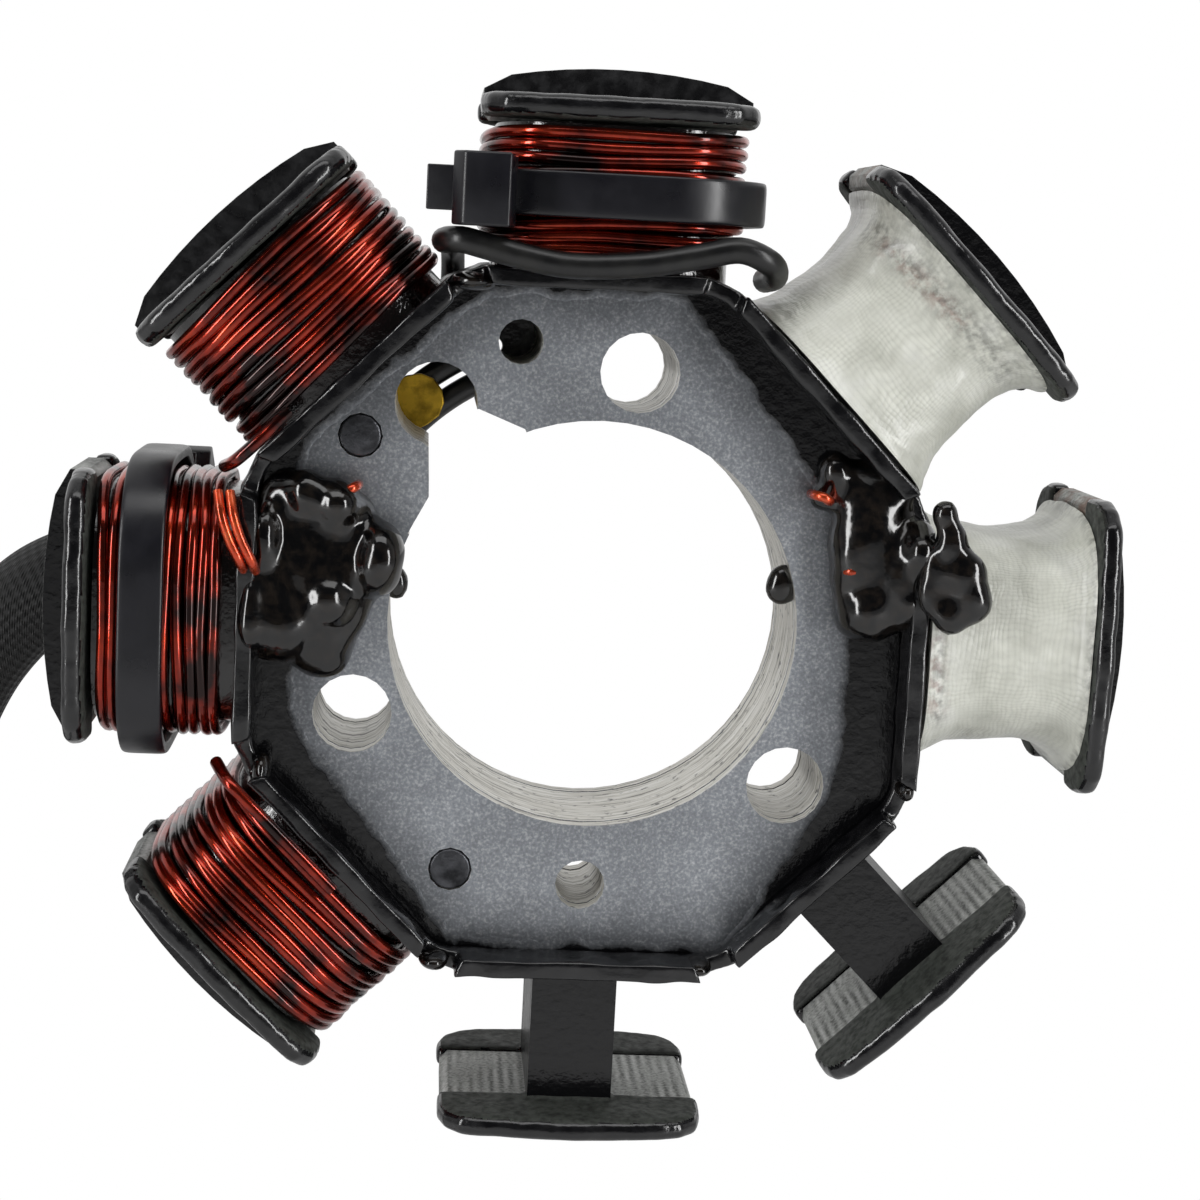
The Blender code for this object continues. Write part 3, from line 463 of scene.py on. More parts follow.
# Drawn copper under red enamel: deep red that flares to orange at the highlights.
WIRE_FINISH = WireFinish("red_magnet_wire", "#8e230f", 0.2, 0.92, coat=0.5, coat_roughness=0.06, grain_mm=1.6,
                         relief_mm=0.04, mottle=0.6, mottle_colour="#d04a22", mottle_mm=5.0)
# Inner turns and fill of the windings: nearly black, wet and a little red; the black is painted shade for the gaps
# between and under the outer turns.
SHADED_WINDING_FINISH = Finish("painted_shade_winding", "#0c0303", 0.12, coat=0.5, grain_mm=0.7, relief_mm=0.1)
# Clear orange copper: bare wire at the splice ends, and on the last turns a painted highlight where they catch the
# light.
BRIGHT_FINISH = WireFinish("bright_magnet_wire", "#c8421e", 0.25, 0.8, coat=0.6, mottle=0.4,
                           mottle_colour="#f08a50", mottle_mm=2.0, deep="#a03818")
# Glass cloth soaked in varnish: off-white, woven, glossy in patches.
TAPE_FINISH = ClothFinish("varnished_glass_cloth", "#d0d1c7", 0.36, coat=0.25, coat_roughness=0.15,
                          relief_mm=0.14, mottle=0.42, mottle_colour="#85867a", mottle_mm=5.0)
# Moulded nylon: smooth bluish black with a broad sheen.
NYLON_FINISH = Finish("moulded_nylon_tie", "#0e0e13", 0.3, grain_mm=0.6, relief_mm=0.006, mottle=0.5,
                      mottle_colour="#16161c", mottle_mm=3.0)
# Poured resin: wet black with small sharp highlights.
RESIN_FINISH = Finish("cast_resin", "#040405", 0.13, coat=0.25, coat_roughness=0.06, grain_mm=2.6,
                      relief_mm=0.08, mottle=0.06, mottle_colour="#6a5a4a", mottle_mm=0.9)
# Extruded rubber: soft black with a dusty sheen.
LEAD_FINISH = Finish("lead_rubber", "#0c0c0d", 0.32, grain_mm=0.9, relief_mm=0.02, mottle=0.7,
                     mottle_colour="#1c1c1a", mottle_mm=2.0)
# Plaited polyester: dull black with a fine check.
BRAID_FINISH = BraidFinish("plaited_polyester", "#111112", 0.5, relief_mm=0.3)
# Stamped brass with flux stains: gold that goes brown.
BRASS_FINISH = Finish("stained_brass", "#d8b03c", 0.4, 1.0, grain_mm=1.0, relief_mm=0.06, mottle=0.6,
                      mottle_colour="#20160a", mottle_mm=1.2)
# Sheet edges rubbed through the coat: dark grey and dull.
SATIN_FINISH = Finish("sanded_sheet_edge", "#3d403c", 0.62, grain_mm=0.3, relief_mm=0.04, mottle=0.75,
                      mottle_colour="#141513", mottle_mm=0.7, specular=0.3)
# Moulded nylon housing: even charcoal with little shine.
SHELL_FINISH = Finish("moulded_nylon_shell", "#1a1a1c", 0.4, grain_mm=0.3, relief_mm=0.01)


def enter(made: Object, material: Material, replaced: Sequence[str] = ()) -> Object:
    """Link an object, dress it and tie it to the stator.

    Args:
        made: the object.
        material: its material, unless its mesh has some already.
        replaced: CAD nodes that it stands for.

    Returns:
        The same object.
    """
    bpy.context.collection.objects.link(made)
    if not made.data.materials:
        made.data.materials.append(material)
    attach(made, BODY)
    if replaced:
        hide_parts(*replaced)
    LOG.info("%s stands for %s", made.name, ", ".join(replaced) or "nothing in the solids")
    return made


def add_mesh(name: str, shape: Shape, material: Material,
             replaced: Sequence[str] = (), smooth_deg: float = 40.0) -> Object:
    """Put a bmesh into the scene as a piece of the stator, and free it.

    Args:
        name: the piece's name.
        shape: the bmesh.
        material: its material.
        replaced: CAD nodes that it stands for.
        smooth_deg: edges sharper than this stay sharp.

    Returns:
        The new object.
    """
    mesh = bpy.data.meshes.new(name)
    shape.to_mesh(mesh)
    shape.free()
    mesh.shade_smooth()
    mesh.set_sharp_from_angle(angle=math.radians(smooth_deg))
    return enter(bpy.data.objects.new(name, mesh), material, replaced)


def node_copy(node: Object) -> Shape:
    """Copy a CAD node into a bmesh, merged and with its flat faces made whole."""
    shape = bmesh.new()
    shape.from_mesh(node.data)
    bmesh.ops.remove_doubles(shape, verts=shape.verts, dist=1e-6)
    bmesh.ops.dissolve_limit(shape, angle_limit=math.radians(1.5), verts=shape.verts, edges=shape.edges)
    return shape


def round_edges(made: Object, width_mm: float, segments: int = 3) -> Object:
    """Round a piece's edges with a Bevel modifier."""
    step = made.modifiers.new("rounding", "BEVEL")
    step.width = width_mm * MM
    step.segments = segments
    step.limit_method = "ANGLE"
    step.angle_limit = math.radians(38)
    return made


def melt(shape: Shape, voxel_mm: float, rounds: int, swell_mm: float = 0.0) -> Shape:
    """Run a shape's lumps and edges together, as fused powder or cast resin does.

    Args:
        shape: closed bodies, freed here.
        voxel_mm: fineness of the new surface.
        rounds: how often it is smoothed.
        swell_mm: unevenness of the surface, in and out.

    Returns:
        The new bmesh.
    """
    mesh = bpy.data.meshes.new("melting")
    shape.to_mesh(mesh)
    shape.free()
    held = bpy.data.objects.new("melting", mesh)
    bpy.context.collection.objects.link(held)
    fuse = held.modifiers.new("fuse", "REMESH")
    fuse.mode = "VOXEL"
    fuse.voxel_size = voxel_mm * MM
    flow = held.modifiers.new("flow", "SMOOTH")
    flow.factor = 0.5
    flow.iterations = rounds
    done = bmesh.new()
    done.from_object(held, bpy.context.evaluated_depsgraph_get())
    bpy.data.objects.remove(held, do_unlink=True)
    bpy.data.meshes.remove(mesh)
    done.normal_update()
    if swell_mm:
        moves = [(v, v.normal.copy() * noise.noise(v.co * 420) * swell_mm * MM) for v in done.verts]
        for vert, move in moves:
            vert.co += move
    return done


def wrapped(across: int, along: int, size_mm: tuple[float, float],
            place: Callable[[float, float], Vector]) -> Shape:
    """Wrap a grid into a closed tube whose UV map is in millimetres.

    Args:
        across: steps round the tube.
        along: steps along it.
        size_mm: length round it and along it, for the UV map.
        place: point for a share of the way round and along, in millimetres.

    Returns:
        The tube, with flat ends.
    """
    shape = bmesh.new()
    bmesh.ops.create_grid(shape, x_segments=across, y_segments=along, size=0.5)
    layer = shape.loops.layers.uv.new("cloth")
    for face in shape.faces:
        for corner in face.loops:
            corner[layer].uv = ((corner.vert.co.x + 0.5) * size_mm[0], (corner.vert.co.y + 0.5) * size_mm[1])
    for vert in shape.verts:
        vert.co = place(vert.co.x + 0.5, vert.co.y + 0.5) * MM
    bmesh.ops.remove_doubles(shape, verts=shape.verts, dist=1e-7)
    bmesh.ops.holes_fill(shape, edges=[edge for edge in shape.edges if edge.is_boundary])
    bmesh.ops.recalc_face_normals(shape, faces=shape.faces)
    return shape


def pole_matrix(degrees: float) -> Matrix:
    """Turn a shape built on the top pole to the pole at an angle."""
    return Matrix.Rotation(math.radians(90 - degrees), 4, "Y")


def polar(radius: float, degrees: float) -> tuple[float, float]:
    """Point of the XZ plane at a radius and an angle."""
    return radius * math.cos(math.radians(degrees)), radius * math.sin(math.radians(degrees))


def nearest_pole(point: Vector) -> Vector:
    """Direction of the pole that a point belongs to."""
    x, z = polar(1.0, round(math.degrees(math.atan2(point.z, point.x)) / 45) * 45)
    return Vector((x, 0.0, z))


def superellipse(wide: float, deep: float, share: float, power: float) -> tuple[float, float]:
    """Point of a squared ellipse at a share of the way round."""
    c, s = math.cos(2 * math.pi * share), math.sin(2 * math.pi * share)
    return wide * math.copysign(abs(c) ** (2 / power), c), deep * math.copysign(abs(s) ** (2 / power), s)


def smooth_route(points: Sequence[Sequence[float]], step_mm: float) -> list[Vector]:
    """Points at an even spacing along a smooth curve through a route's own points.

    Args:
        points: the route in millimetres.
        step_mm: the spacing.

    Returns:
        Points in metres.
    """
    own = [Vector(point) for point in points]
    ends = [own[0] * 2 - own[1], *own, own[-1] * 2 - own[-2]]
    fine: list[Vector] = []
    for a, b, c, d in zip(ends, ends[1:], ends[2:], ends[3:]):
        for i in range(16):
            t = i / 16
            fine.append(0.5 * ((2 * b) + (c - a) * t + (2 * a - 5 * b + 4 * c - d) * t * t
                               + (3 * b - a - 3 * c + d) * t * t * t))
    fine.append(own[-1])
    lengths = [0.0]
    for a, b in zip(fine, fine[1:]):
        lengths.append(lengths[-1] + (b - a).length)
    count = max(3, round(lengths[-1] / step_mm))
    even: list[Vector] = []
    at = 0
    for i in range(count + 1):
        want = lengths[-1] * i / count
        while at < len(fine) - 2 and lengths[at + 1] < want:
            at += 1
        span = lengths[at + 1] - lengths[at]
        even.append(fine[at].lerp(fine[at + 1], (want - lengths[at]) / span if span else 0.0) * MM)
    return even


def add_tube(name: str, points: Sequence[Vector], radius_mm: float, material: Material,
             replaced: Sequence[str] = (), resolution: int = 4) -> Object:
    """Lay a round tube along points.

    Args:
        name: the piece's name.
        points: its centreline in metres.
        radius_mm: its radius.
        material: its material.
        replaced: CAD nodes that it stands for.
        resolution: roundness of its section.

    Returns:
        The new curve object.
    """
    curve = bpy.data.curves.new(name, "CURVE")
    curve.dimensions = "3D"
    curve.bevel_depth = radius_mm * MM
    curve.bevel_resolution = resolution
    curve.use_fill_caps = True
    line = curve.splines.new("POLY")
    line.points.add(len(points) - 1)
    for spot, point in zip(line.points, points):
        spot.co = (*point, 1.0)
    line.use_smooth = True
    return enter(bpy.data.objects.new(name, curve), material, replaced)


@dataclass
class Core:
    """The riveted core: sheets, pole plates, guards and rivets. Sizes in millimetres."""

    seat: float = 41.4
    hub: float = 26.6
    rivet_radius: float = 1.72
    rivet_length: float = 14.24
    rivets: tuple[tuple[float, float], ...] = ((24.9, 143.0), (23.9, 242.5), (24.3, 22.0))

    def tips(self, node: Object) -> Shape:
        """Cut the eight bent tips off a copy of a pole plate.

        Args:
            node: the plate.

        Returns:
            The tips, closed.
        """
        joined = bmesh.new()
        for i in range(8):
            x, z = polar(1.0, 45 * i)
            tip = node_copy(node)
            everything = [*tip.verts, *tip.edges, *tip.faces]
            bmesh.ops.bisect_plane(tip, geom=everything, dist=1e-7, plane_no=(x, 0, z), clear_inner=True,
                                   plane_co=Vector((x, 0, z)) * (self.seat - 0.3) * MM)
            bmesh.ops.holes_fill(tip, edges=[edge for edge in tip.edges if edge.is_boundary])
            mesh = bpy.data.meshes.new("tip")
            tip.to_mesh(mesh)
            tip.free()
            joined.from_mesh(mesh)
            bpy.data.meshes.remove(mesh)
        bmesh.ops.recalc_face_normals(joined, faces=joined.faces)
        return joined

    def plump(self, shape: Shape, grow_mm: float = 0.26) -> Shape:
        """Thicken the coat on every side of the tips but the outer one."""
        shape.normal_update()
        moves = [(v, v.normal * grow_mm * MM * min(1.0, 1.0 - v.normal.dot(nearest_pole(v.co)))) for v in shape.verts]
        for vert, move in moves:
            vert.co += move
        return shape

    def sheet(self, node: Object) -> Shape:
        """Cut the tips away from a copy of a pole plate.

        Args:
            node: the plate.

        Returns:
            The flat plate with its eight arms, closed.
        """
        flat = node_copy(node)
        for i in range(8):
            x, z = polar(1.0, 45 * i)
            everything = [*flat.verts, *flat.edges, *flat.faces]
            bmesh.ops.bisect_plane(flat, geom=everything, dist=1e-7, plane_no=(x, 0, z), clear_outer=True,
                                   plane_co=Vector((x, 0, z)) * (self.seat - 0.02) * MM)
        bmesh.ops.holes_fill(flat, edges=[edge for edge in flat.edges if edge.is_boundary])
        bmesh.ops.recalc_face_normals(flat, faces=flat.faces)
        return flat

    def share_faces(self, made: Object, materials: Sequence[Material]) -> None:
        """Give the cut walls, the arms and the shoes of a piece finishes of their own.

        Args:
            made: the piece.
            materials: its faces' finish, then its inner walls', its arms' and its shoes'.
        """
        made.data.materials.clear()
        for material in materials:
            made.data.materials.append(material)
        for face in made.data.polygons:
            reach = math.hypot(face.center.x, face.center.z) / MM
            wall = abs(face.normal.y) < 0.5
            if reach > self.seat - 0.6 and len(materials) > 3:
                face.material_index = 3
            elif reach > self.hub + 2.0 or (wall and reach > self.hub):
                face.material_index = 2
            elif wall:
                face.material_index = 1

    def share_tips(self, mesh: bpy.types.Mesh) -> None:
        """Leave the tips' flat faces thinly coated behind the glossy rolled lip.

        Args:
            mesh: the tips, with the coat and the thin coat.
        """
        for face in mesh.polygons:
            face.material_index = 1 if face.normal.dot(nearest_pole(face.center)) < -0.8 else 0

    def mark_across(self, mesh: bpy.types.Mesh) -> None:
        """Store how far each point lies to the side of its pole's middle, in millimetres."""
        layer = mesh.attributes.new("across", "FLOAT", "POINT")
        for vert, value in zip(mesh.vertices, layer.data):
            pole = nearest_pole(vert.co)
            value.value = (vert.co.z * pole.x - vert.co.x * pole.z) / MM

    def build(self) -> None:
        """Coat the plates and guards, and finish the sheets and rivets."""
        face, coat, arm = PLATE_FINISH.make(), COAT_FINISH.make(), ARM_FINISH.make()
        cut, shoe = CUT_FINISH.make(), SHOE_FINISH.make()
        rivet, satin = RIVET_FINISH.make(), SATIN_FINISH.make()
        for side in ("front", "rear"):
            plate = NODES[f"{side}_pole_plate"]
            flat = add_mesh(f"{side}_plate", self.sheet(plate), face, [plate.name])
            self.share_faces(flat, (face, cut, arm))
            round_edges(flat, 0.14, 2)
            tips = add_mesh(f"{side}_tips", self.plump(melt(self.tips(plate), 0.21, 12, 0.1)), coat,
                            [plate.name], 180)
            tips.data.materials.append(satin)
            self.share_tips(tips.data)
            guard = NODES[f"{side}_coil_guard"]
            add_mesh(f"{side}_guard", melt(node_copy(guard), 0.24, 8, 0.2), coat, [guard.name], 180)
        stack = add_mesh("sheet_stack", node_copy(NODES["lamination_stack"]), cut,
                         ["lamination_stack"])
        self.share_faces(stack, (face, cut, arm, shoe))
        self.mark_across(stack.data)
        round_edges(stack, 0.12, 2)
        for i, (radius, degrees) in enumerate(self.rivets, 1):
            self.rivet(i, polar(radius, degrees), rivet)

    def rivet(self, number: int, place: tuple[float, float], material: Material) -> None:
        """Head a rivet flush with both plates, its edge rounded by the press."""
        shape = bmesh.new()
        turn = Matrix.Translation(Vector((place[0], MIDDLE_MM,
                                          place[1])) * MM) @ Matrix.Rotation(math.radians(90), 4, "X")
        bmesh.ops.create_cone(shape, cap_ends=True, segments=40, radius1=self.rivet_radius * MM,
                              radius2=self.rivet_radius * MM, depth=self.rivet_length * MM, matrix=turn)
        rims = [edge for edge in shape.edges if abs(edge.verts[0].co.y - edge.verts[1].co.y) < 1e-6]
        bmesh.ops.bevel(shape, geom=rims, offset=0.2 * MM, segments=3, profile=0.5, affect="EDGES",
                        material=-1)
        add_mesh(f"rivet_{number}", shape, material, [f"core_rivet_{number}"])


@dataclass
class OpenCoil:
    """A coil of enamelled wire: an outer layer of turns over a darker one, painted near-black as shade. Millimetres.
    """

    place: str
    degrees: float
    seed: float
    inner: float = 29.9
    outer: float = 41.1
    half_width: float = 11.2
    half_depth: float = 11.8
    squareness: float = 3.3
    wire: float = 1.05
    turns: int = 10
    wander: float = 0.16

    def layer(self, sunk: float, turns: int, steps: int = 56) -> list[Vector]:
        """Centreline of one layer of turns on the top pole.

        Args:
            sunk: how far the layer lies under the coil's outside.
            turns: number of turns.
            steps: points on each turn.

        Returns:
            The points in order, in metres.
        """
        wide, deep = self.half_width - self.wire / 2 - sunk, self.half_depth - self.wire / 2 - sunk
        low, high = self.inner + self.wire / 2, self.outer - self.wire / 2
        start = 0.5 * self.wire if sunk else 0.0
        pitch = (high - low - 2 * start) / turns
        points: list[Vector] = []
        for i in range(turns * steps + 1):
            share = i / steps
            x, y = superellipse(wide, deep, share + 0.3, self.squareness)
            sample = Vector((share * 0.8 + self.seed * 3, x * 0.07 + sunk, y * 0.07))
            tight = 1.0 + noise.noise(sample) * self.wander * 0.07 - self.wander * 0.05
            level = low + start + pitch * share + noise.noise(sample * 1.3 + Vector((9.1, 3.7, 1.3))) * self.wander * 2.6
            points.append(Vector((x * tight, MIDDLE_MM + y * tight, min(high, max(low, level)))) * MM)
        return points

    def inside(self, around: float, along: float) -> Vector:
        """Point of the body under the layers, on the top pole."""
        x, y = superellipse(self.half_width - 1.35, self.half_depth - 1.35, around, self.squareness)
        return Vector((x, MIDDLE_MM + y, self.inner - 1.9 + (self.outer - self.inner + 1.6) * along))

    def build(self, material: Material, deep: Material) -> None:
        """Wind both layers and fill the coil behind them.

        Args:
            material: the wire's finish.
            deep: finish of the inside, near-black as painted shade.
        """
        turn = pole_matrix(self.degrees)
        outer = [turn @ point for point in self.layer(0.0, self.turns)]
        add_tube(f"winding_{self.place}", outer, self.wire * 0.45, material,
                 [f"coil_{self.place}"], 4)
        # The inner layer and the fill carry the near-black painted shade between the outer turns.
        under = [turn @ point for point in self.layer(0.8, self.turns - 1, 40)]
        add_tube(f"under_winding_{self.place}", under, self.wire / 2, deep, (), 2)
        shape = wrapped(64, 8, (70, 11), self.inside)
        bmesh.ops.transform(shape, matrix=turn, verts=shape.verts)
        add_mesh(f"winding_fill_{self.place}", shape, deep)


@dataclass
class TapedCoil:
    """An exciter coil under glass cloth tape: a spool with a waist and flared ends. Millimetres."""

    place: str
    degrees: float
    seed: float
    streaks: tuple[tuple[float, float, float, float, float, int], ...] = ()
    inner: float = 27.7
    outer: float = 41.1
    squareness: float = 3.4
    profile: tuple[tuple[float, float, float], ...] = (
        (0.0, 10.8, 11.4), (0.08, 10.2, 11.0), (0.22, 9.4, 10.6), (0.45, 9.0, 10.4),
        (0.68, 9.0, 10.4), (0.84, 9.4, 10.7), (0.94, 10.3, 11.3), (1.0, 11.5, 12.0))
    stain: float = 0.6

    def size_at(self, share: float) -> tuple[float, float]:
        """Half width and half depth at a share of the way out, on a smooth curve."""
        own = self.profile
        at = next(i for i in range(len(own) - 1) if share <= own[i + 1][0] + 1e-9)
        a, b = own[at], own[at + 1]
        before, after = own[max(0, at - 1)], own[min(len(own) - 1, at + 2)]
        t = (share - a[0]) / (b[0] - a[0])
        width, depth = (
            0.5 * (2 * a[k] + (b[k] - before[k]) * t + (2 * before[k] - 5 * a[k] + 4 * b[k] - after[k]) * t * t
                   + (3 * a[k] - before[k] - 3 * b[k] + after[k]) * t ** 3) for k in (1, 2))
        return width, depth

    def point(self, around: float, along: float) -> Vector:
        """Point of the cloth on the top pole, for a share of the way round and out."""
        x, y = superellipse(*self.size_at(along), around, self.squareness)
        level = self.inner + along * (self.outer - self.inner)
        sample = Vector((x * 0.22 + self.seed, y * 0.22, level * 0.2))
        lump = 0.988 + noise.noise(sample) * 0.02 + noise.noise(sample * 4.0) * 0.007
        ridge = 0.006 * math.sin(level * 1.1 + x * 0.25)
        return Vector((x * (lump + ridge), MIDDLE_MM + y * (lump + ridge), level))

    def inside(self, around: float, along: float) -> Vector:
        """Point of the fine winding under the cloth, on the top pole."""
        wide, deep = self.size_at(0.2 + 0.6 * along)
        x, y = superellipse(wide - 0.9, deep - 0.9, around, self.squareness)
        return Vector((x, MIDDLE_MM + y, self.inner + 0.4 + along * (self.outer - self.inner - 0.8)))

    def build(self, tape: Material, wire: Material) -> None:
        """Lay the cloth over the coil, and stain it.

        Args:
            tape: the cloth's finish.
            wire: finish of the coil inside.
        """
        inside = wrapped(48, 12, (60, 12), self.inside)
        bmesh.ops.transform(inside, matrix=pole_matrix(self.degrees), verts=inside.verts)
        add_mesh(f"exciter_winding_{self.place}", inside, wire, [f"exciter_coil_{self.place}"])
        shape = wrapped(150, 90, (72, 13.4), self.point)
        bmesh.ops.transform(shape, matrix=pole_matrix(self.degrees), verts=shape.verts)
        made = add_mesh(f"glass_cloth_{self.place}", shape, tape, [f"glass_tape_{self.place}"], 75)
        stain = made.data.color_attributes.new("stain", "FLOAT_COLOR", "POINT")
        x, z = polar(1.0, self.degrees)
        for vert, mark in zip(made.data.vertices, stain.data):
            share = ((vert.co.x * x + vert.co.z * z) / MM - self.inner) / (self.outer - self.inner)
            # Channel two grows towards the cloth's outer end, to darken it there.
            levels = [0.0, max(0.0, (share - 0.95) * 13)]
            for x0, z0, x1, z1, size, channel in self.streaks:
                a, b, p = Vector((x0, z0)), Vector((x1, z1)), Vector((vert.co.x, vert.co.z)) / MM
                t = min(1.0, max(0.0, (p - a).dot(b - a) / (b - a).length_squared))
                if vert.co.y < -12 * MM:
                    levels[channel] = max(levels[channel],
                                          self.stain * (1.0 - (p - a.lerp(b, t)).length / size))
            mark.color = (min(1.0, levels[0]), min(1.0, levels[1]), 0.0, 1.0)


@dataclass
class Tie:
    """A cable tie drawn tight round a coil: band, locking head and cut tail. Millimetres."""

    place: str
    degrees: float
    radius: float
    head_turn: float
    bundle: tuple[tuple[float, float, float], ...] = ()
    width: float = 3.6
    thick: float = 1.1
    slack: float = 0.3
    head: tuple[float, float, float] = (4.7, 4.6, 5.7)
    slide: float = 4.9
    tail: float = 2.2

    def support(self, out: Vector) -> Vector:
        """Point furthest out in a direction on the bundle that the band is pulled round."""
        discs = [(i * 4.7, MIDDLE_MM + j * 5.3, 6.5) for i in (-1, 1) for j in (-1, 1)] + list(self.bundle)
        x, y, size = max(discs, key=lambda disc: disc[0] * out.x + disc[1] * out.y + disc[2])
        return Vector((x, y)) + out * size

    def path(self, steps: int) -> list[tuple[Vector, Vector]]:
        """Inner line of the band, at an even spacing, with the way outwards at each point.

        Args:
            steps: number of points.

        Returns:
            Pairs of point and direction.
        """
        raw = []
        for i in range(721):
            out = Vector((math.cos(math.pi * i / 360), math.sin(math.pi * i / 360)))
            raw.append(self.support(out) + out * self.slack)
        lengths = [0.0]
        for a, b in zip(raw, raw[1:]):
            lengths.append(lengths[-1] + (b - a).length)
        even, at = [], 0
        for i in range(steps):
            want = lengths[-1] * i / steps
            while lengths[at + 1] < want:
                at += 1
            span = lengths[at + 1] - lengths[at]
            even.append(raw[at].lerp(raw[at + 1], (want - lengths[at]) / span if span else 0.0))
        for _ in range(30):
            even = [(even[i - 1] + even[i] * 2 + even[(i + 1) % steps]) / 4 for i in range(steps)]
        made = []
        for i, point in enumerate(even):
            ahead = (even[(i + 1) % steps] - even[i - 1]).normalized()
            made.append((point, Vector((ahead.y, -ahead.x))))
        return made

    def build(self, material: Material, steps: int = 200) -> None:
        """Draw the band, and mould the head and the tail.

        Args:
            material: the nylon's finish.
            steps: steps round the band.
        """
        line = self.path(steps)

        def skin(around: float, along: float) -> Vector:
            """Point of the band's surface, in millimetres."""
            point, out = line[round(along * steps) % steps]
            high, side = superellipse(self.thick / 2, self.width / 2, around, 6.0)
            return Vector((*(point + out * (self.thick / 2 + high)), self.radius + side))

        shape = wrapped(40, steps, (9, 70), skin)
        self.mould(shape)
        bmesh.ops.transform(shape, matrix=pole_matrix(self.degrees), verts=shape.verts)
        add_mesh(f"strap_{self.place}", shape, material, [f"cable_tie_{self.place}"], 50)

    def mould(self, shape: Shape) -> None:
        """Add the locking head and the cut tail to the band."""
        turn = math.radians(self.head_turn)
        out = Vector((math.cos(turn), math.sin(turn)))
        foot = self.support(out) + out * self.slack
        place = Matrix.Translation(Vector((*foot, self.radius)) * MM) @ Matrix.Rotation(turn - math.pi / 2, 4,
                                                                                        "Z")
        length = self.head[0] / 2 + self.tail
        for size, centre, chamfer, edge in (
                (self.head, (self.slide, self.head[1] / 2 - 0.2, 0.0), 1.0, 0.22),
                ((length, 1.2, 3.5), (self.slide + length / 2, 1.6, 0.0), 0.0, 0.12)):
            block = bmesh.new()
            bmesh.ops.create_cube(block, size=1.0)
            bmesh.ops.scale(block, vec=Vector(size) * MM, verts=block.verts)
            bmesh.ops.translate(block, vec=Vector(centre) * MM, verts=block.verts)
            if chamfer:
                far = [e for e in block.edges
                       if all(v.co.x > centre[0] * MM and v.co.y > centre[1] * MM for v in e.verts)]
                bmesh.ops.bevel(block, geom=far, offset=chamfer * MM, segments=1, profile=0.5, affect="EDGES",
                                material=-1)
            bmesh.ops.bevel(block, geom=block.edges[:], offset=edge * MM, segments=3, profile=0.5,
                            affect="EDGES", material=-1)
            bmesh.ops.transform(block, matrix=place, verts=block.verts)
            mesh = bpy.data.meshes.new("block")
            block.to_mesh(mesh)
            block.free()
            shape.from_mesh(mesh)
            bpy.data.meshes.remove(mesh)


